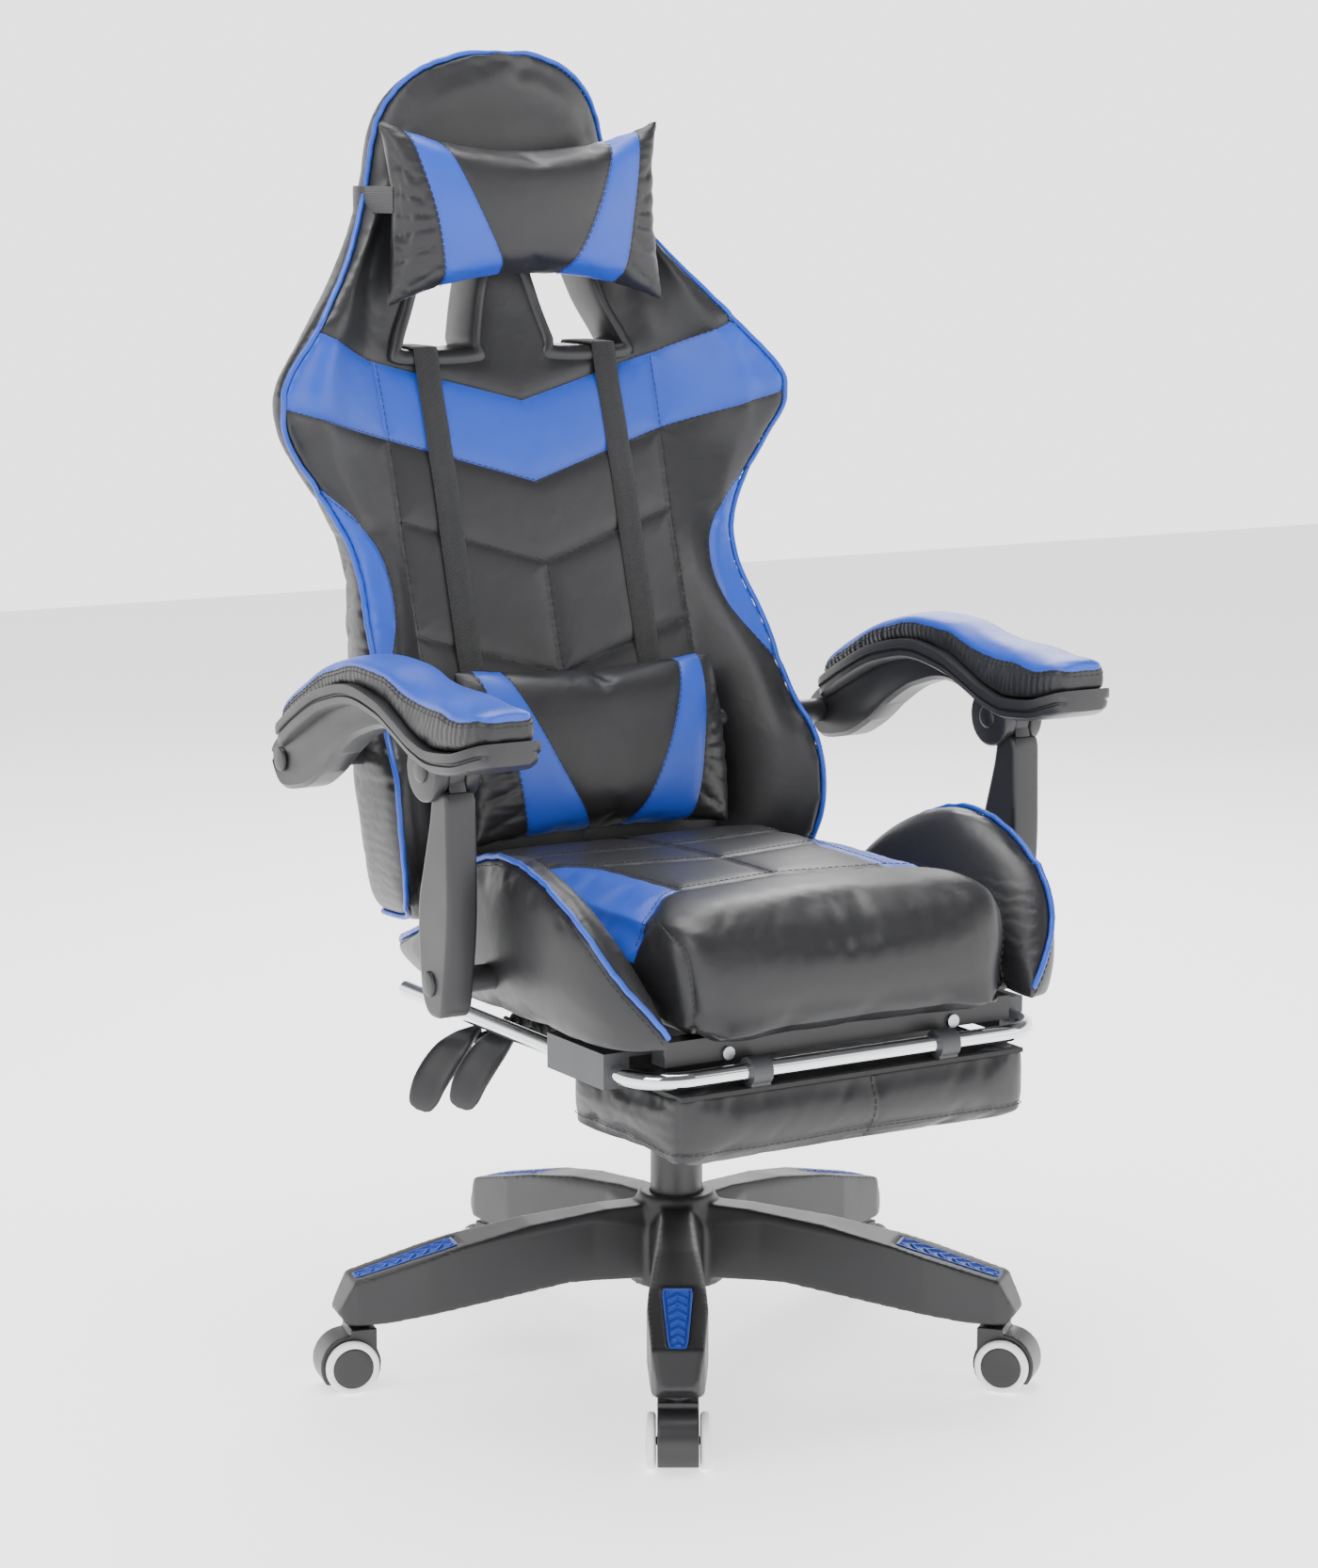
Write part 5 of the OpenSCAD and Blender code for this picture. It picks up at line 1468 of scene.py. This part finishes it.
def ribbon(path, across, wide, thick):
    """Flat webbing along a path; its width lies along the across direction."""
    path, across = resample(path, spacing=4), np.array(across, float)
    tangent = np.gradient(path, axis=0)
    tangent /= np.linalg.norm(tangent, axis=1, keepdims=True)
    out = np.cross(tangent, across)
    out /= np.linalg.norm(out, axis=1, keepdims=True)
    section = [(-0.5, -0.3), (-0.47, -0.5), (-0.2, -0.56), (0.2, -0.56), (0.47, -0.5), (0.5, -0.3),
               (0.5, 0.3), (0.47, 0.5), (0.2, 0.56), (-0.2, 0.56), (-0.47, 0.5), (-0.5, 0.3)]
    return loft([[p + across * wide * u + n * thick * v for u, v in section]
                 for p, n in zip(path, out)])


class ChairStraps(bpy.types.Operator):
    """Makes the lumbar pillow's webbing straps and the head pillow's band"""

    bl_idname = "chair.straps"
    bl_label = "Straps"

    def execute(self, context):
        wide = high("head_strap")[2] - low("head_strap")[2]
        thick = 2.0
        middle = surface_tree(bpy.data.objects["back_cover_middle"])
        x = (high("lumbar_straps")[0] - wide / 2) + 1
        edge, foot = back_z(0.65), low("lumbar_straps")[2]
        heights = np.arange(foot - 16, edge - 22, 6.0)
        hits, _ = on_surface(middle, [(x, 100, z) for z in heights], (0, 1, 0))
        face = np.convolve(np.pad(hits[:, 1], 6, mode="edge"), np.ones(13) / 13, mode="valid")
        face = np.minimum(face, hits[:, 1]) - 0.5 * thick - 0.6
        front = [(x, y, z) for y, z in zip(face, heights[: len(face)])]
        low_front = BACK_Y0 + smooth(FACE, 0.65) - 12
        low_rear = BACK_Y0 + smooth(FACE, 0.65) + smooth(DEPTH, 0.65) + 10
        through = [(x, low_front - 1, edge - 8), (x, low_front + 1, edge),
                   (x, low_front + 8, edge + 1.6), (x, low_rear - 8, edge + 1.6),
                   (x, low_rear - 1, edge), (x, low_rear + 1, edge - 8)]
        down = np.arange(edge - 26, edge - 190, -8.0)
        rear, _ = on_surface(middle, [(x, 500, z) for z in down], (0, -1, 0))
        behind = [(x, y + 0.5 * thick + 1, z) for y, z in zip(rear[:, 1], down)]
        one = ribbon(np.vstack([front, through, behind]), (1, 0, 0), wide, thick)
        made = mesh_object("lumbar_webbing", *merged(one, mirrored(one)), WEBBING)
        settle(made, "back", ["lumbar_straps"], angle=40)

        # The band: out of the pillow's ends and round the back of the head panel
        z = (low("head_strap")[2] + high("head_strap")[2]) / 2
        end = (high("head_pillow")[0] - 6, (low("head_pillow")[1] + high("head_pillow")[1]) / 2)
        centre = np.array([0, BACK_Y0 + smooth(FACE, back_height(z)) + 34, z])
        wrap = []
        for turn in np.radians(np.linspace(-12, 192, 70)):
            toward = np.array([-math.cos(turn), -math.sin(turn), 0])
            place, _ = on_surface(middle, [centre], toward)
            if len(place):
                wrap.append(place[0] - toward * (0.5 * thick + 0.8))
        band = np.vstack([[(end[0], end[1], z)], wrap, [(-end[0], end[1], z)]])
        made = mesh_object("head_band", *ribbon(band, (0, 0, 1), wide, thick), WEBBING)
        settle(made, "back", ["head_strap"], angle=40)
        return {"FINISHED"}


# ---------------------------------------------------------------------------------------
# Footrest and levers


class ChairFootrest(bpy.types.Operator):
    """Makes the footrest's padded cover with its sewn panels"""

    bl_idname = "chair.footrest"
    bl_label = "Footrest"

    def execute(self, context):
        sizes, _ = chair()
        # The padding bulges past its plain solid: up towards the rails, a little down and sideways
        lowest, highest = low("footrest_pad") - [4, 0, 5], high("footrest_pad") + [4, 0, 8]
        half, deep, tall = highest - lowest
        half /= 2
        outline = [(0, tall - 8), (0, 8), (6, 1), (16, 0), (deep / 2, -1), (deep - 14, 0),
                   (deep - 4, 4), (deep, 12), (deep, tall - 8), (deep - 6, tall - 1),
                   (deep / 2, tall), (6, tall - 1)]
        rings = []
        for u in np.concatenate([[-1], np.linspace(-0.985, 0.985, 40), [1]]):
            ring = resample(outline, 84, closed=True)
            centre = ring.mean(axis=0)
            ring = centre + (ring - centre) * (1 - 0.09 * abs(u) ** 26)
            rings.append([(u * (half - 1), lowest[1] + y, lowest[2] + z) for y, z in ring])
        cover = mesh_object("footrest_cover", *loft(rings), LEATHER,
                            LEATHER_GATHERED)
        inflate(cover, 4.5, sizes.crown / MM - 1, 3.5, rounding=4)
        tree = surface_tree(cover)
        y0, z0, x1 = lowest[1], lowest[2], half
        hem = 13
        threads = []
        front = [(x, y0 - 50, z0 + hem + dz) for x, dz in
                 ((-x1 + 6, 0), (-x1 * 0.5, -2), (0, 0), (x1 * 0.6, -1), (x1 - 6, 0))]
        lines = [(front, (0, 1, 0)),
                 ([(20, y0 - 50, z0 + 3), (21, y0 - 50, z0 + tall - 6)], (0, 1, 0))]
        for side in (-1, 1):
            beyond = side * (x1 + 50)
            ends = [(beyond, y0 + 6, z0 + hem), (beyond, y0 + deep - 8, z0 + hem + 2)]
            lines.append((ends, (-side, 0, 0)))
        paths = []
        for line, toward in lines:
            path, facing = seam_on(tree, line, toward)
            paths.append(path)
            upright = toward == (0, 1, 0) and line is not front
            threads += stitches(path, facing, offset=-4 if upright else 0)
        crease(cover, paths, 1.8, 3.5)
        corners = []
        for side in (-1, 1):
            for y in (y0 + 2, y0 + deep - 3):
                corners.append(nearest(tree, [(side * (x1 - 2), y, z)
                                              for z in np.arange(z0 + 8, z0 + tall - 4, 3)])[0])
        crease(cover, corners, 1.6, 3)
        paint(cover, lambda place, normal: 1 if abs(normal[0]) > 0.7 else 0)
        settle(cover, "footrest_flip", ["footrest_pad"])
        sewn_on("footrest_stitching", threads, "footrest_flip")
        return {"FINISHED"}


# A paddle's centre line from the rod's end outwards as (x, z), with its width and thickness there
PADDLE = [(8, 11, 9, 8), (2, 9, 13, 10), (-10, 2, 25, 11.5), (-28, -13, 33, 11),
          (-44, -33, 34, 10.5), (-52, -50, 30, 9.5), (-54, -58, 22, 8), (-55, -61, 10, 5)]


class ChairLevers(bpy.types.Operator):
    """Makes the two levers: bent rods with spoon-shaped paddles"""

    bl_idname = "chair.levers"
    bl_label = "Levers"

    def execute(self, context):
        for name in ("lift_lever", "recline_lever"):
            lowest, highest = low(name), high(name)
            y = (lowest[1] + highest[1]) / 2
            end = np.array([lowest[0] + 62, lowest[2] + 62])
            pivot = np.array([highest[0] - 5.5, highest[2] - 5.5])
            rings = []
            for x, z, wide, thick, dx, dz in self.line():
                ring = []
                # The blade turns its dished face forwards, to the sitter's hand
                twist = math.radians(38 * min(1, max(0, (8 - x) / 30)))
                for turn in np.linspace(0, 2 * math.pi, 28, endpoint=False):
                    round_off = (math.cos(turn), math.sin(turn))
                    u, v = (math.copysign(abs(q) ** 0.75, q) for q in round_off)
                    dish = 0.16 * (1 - u * u) if v > 0.3 else 0
                    u, v = u * wide / 2, (v / 2 - dish) * thick
                    aside = u * math.cos(twist) - v * math.sin(twist)
                    out = u * math.sin(twist) + v * math.cos(twist)
                    ring.append((end[0] + x - dz * out, y + aside, end[1] + z + dx * out))
                rings.append(ring)
            along = [pivot, (pivot + end) / 2, end + [2, 1], end - [8, 0]]
            rod = tube([(x, y, z) for x, z in along], 4, 16)
            made = mesh_object(name + "_paddle", *merged(loft(rings), rod), SATIN)
            settle(made, name, [name], angle=50)
        return {"FINISHED"}

    def line(self):
        """The centre line in small steps, with its unit direction."""
        row = resample(PADDLE, 34)
        step = np.gradient(row[:, :2], axis=0)
        step /= np.linalg.norm(step, axis=1, keepdims=True)
        return np.hstack([row, -step])


# ---------------------------------------------------------------------------------------
# Base, casters and metalwork


class ChairBase(bpy.types.Operator):
    """Makes the moulded star base, its relief inlays, the caster hoods and the two-tone wheels"""

    bl_idname = "chair.base"
    bl_label = "Base and casters"

    def execute(self, context):
        self.moulded("star_base", "base_moulding", 2.0, 10, "base", "base_nylon",
                     "glass-filled nylon, moulded")
        self.inlays()
        for k in range(1, 6):
            self.moulded(f"caster_{k}", f"caster_hood_{k}", 1.1, 4, f"caster_{k}", "caster_nylon",
                         BLACK)
            self.wheels(k)
        self.metalwork()
        return {"FINISHED"}

    def moulded(self, node, name, voxel, rounding, body, slot, finish_name):
        """A CAD node's form with the soft edges of a moulding."""
        piece = bpy.data.objects.new(name, NODES[node].data.copy())
        bpy.context.collection.objects.link(piece)
        remeshed(piece, voxel, rounding)
        piece.data.materials.clear()
        piece.data.materials.append(bpy.data.materials[finish_name])
        settle(piece, body, [node])

    def inlays(self):
        """A shallow tray with a rim and chevrons in it, on the slope of each arm."""
        top = high("base_inlays")[2]
        r0, length_out, fall = 220.5, 100.5, 0.2537  # where it starts, how long, and how it slopes
        across, along = np.linspace(-1, 1, 41), np.linspace(0, 1, 97)
        parts = []
        for k in range(5):
            turn = math.radians(-31 + 72 * k)
            out = np.array([math.sin(turn), -math.cos(turn)])
            side = np.array([-out[1], out[0]])
            rings = []
            for u in along:
                ring = []
                r = r0 + 1 + (length_out - 2) * u
                half = 14.6 - 6 * u
                for v in across:
                    cut = 1 - 0.12 * max(0, 1 - 9 * min(u, 1 - u))
                    edge = min((1 - abs(v)) * half, u * length_out, (1 - u) * length_out)
                    phase = ((r - r0) - 0.9 * abs(v) * half) / 13.5 % 1
                    height = -1.6
                    if edge < 2.2:
                        height = 0 if edge > 0.3 else -0.6
                    elif edge > 3.4 and min(phase, 1 - phase) < 0.12:
                        height = 0.2
                    elif edge > 3.4 and abs(phase - 0.24) < 0.05:
                        height = -0.5
                    x, y = out * r + side * v * half * cut
                    ring.append((x, y, top + 0.2 - fall * (r - r0) + height))
                rings.append(ring)
            parts.append(loft(rings, caps=False, closed=False))
        made = mesh_object("base_inlay_plates", *merged(*parts), "ABS, moulded blue inlay")
        settle(made, "base", ["base_inlays"], angle=35)

    def wheels(self, k):
        """Each wheel: a soft white rim round a black core disc."""
        nodes = {s: f"caster_wheel_{s}_{k}" for s in "ab"}
        centre = {s: (low(node) + high(node)) / 2 for s, node in nodes.items()}
        radius = high(nodes["a"])[2] / 2
        for s, other in (("a", "b"), ("b", "a")):
            axis = centre[s] - centre[other]
            axis /= np.linalg.norm(axis)
            half = 4.2
            core = 0.75 * radius
            profile = [(-half, 0.1), (-half, radius - 3), (-half + 1.2, radius - 0.8),
                       (-half + 2.6, radius), (half - 2.6, radius), (half - 1, radius - 0.7),
                       (half, radius - 2.4),
                       (half, core + 1), (half - 0.4, core + 0.2), (half - 0.8, core),
                       (half - 0.3, core - 0.5), (half + 0.1, core - 1.6), (half + 0.3, 0.6 * core),
                       (half + 0.35, 0.1)]
            points, faces = lathe(profile, 64)
            up = np.array([0, 0, 1.0])
            side = np.cross(axis, up)
            points = centre[s] + points[:, :1] * axis + points[:, 1:2] * side + points[:, 2:] * up
            made = mesh_object(f"wheel_{s}_{k}", points, faces, "polyurethane tyre, cast white",
                               BLACK)
            for face in made.data.polygons:
                spot = np.array(face.center) / MM - centre[s]
                along = spot @ axis
                around = np.linalg.norm(spot - along * axis)
                face.material_index = 1 if around < core + 0.15 else 0
            settle(made, f"wheel_{s}_{k}", [nodes[s]], angle=40)

    def metalwork(self):
        """Softens the edges of the CAD nodes that show as they are."""
        for piece in NODES.values():
            if piece.hide_render:
                continue
            shade(piece, 32)
            edges = piece.modifiers.new("Edges", "BEVEL")
            edges.width = 0.6 * MM
            edges.segments = 2
            edges.limit_method = "ANGLE"
            edges.angle_limit = math.radians(40)


CLASSES = (ChairColours, ChairSizes, ChairFinishes, ChairStage, ChairBack, ChairSeat, ChairPillows,
           ChairStraps, ChairArmrests, ChairFootrest, ChairLevers, ChairBase)
STEPS = ("finishes", "stage", "back", "seat", "pillows", "straps", "armrests", "footrest", "levers",
         "base")


class ChairPanel(bpy.types.Panel):
    """Lists the chair's settings and its makers"""

    bl_idname = "VIEW3D_PT_chair"
    bl_label = "Gaming chair"
    bl_space_type = "VIEW_3D"
    bl_region_type = "UI"
    bl_category = "Chair"

    def draw(self, context):
        for group in (context.scene.chair_sizes, context.scene.chair_colours):
            for name in group.__annotations__:
                self.layout.prop(group, name)
        for step in STEPS:
            self.layout.operator("chair." + step)


def register():
    for made in (*CLASSES, ChairPanel):
        bpy.utils.register_class(made)
    bpy.types.Scene.chair_colours = PointerProperty(type=ChairColours)
    bpy.types.Scene.chair_sizes = PointerProperty(type=ChairSizes)


def unregister():
    del bpy.types.Scene.chair_sizes
    del bpy.types.Scene.chair_colours
    for made in (ChairPanel, *reversed(CLASSES)):
        bpy.utils.unregister_class(made)


def main():
    register()
    for step in STEPS:
        getattr(bpy.ops.chair, step)()


if __name__ == "__main__":
    main()
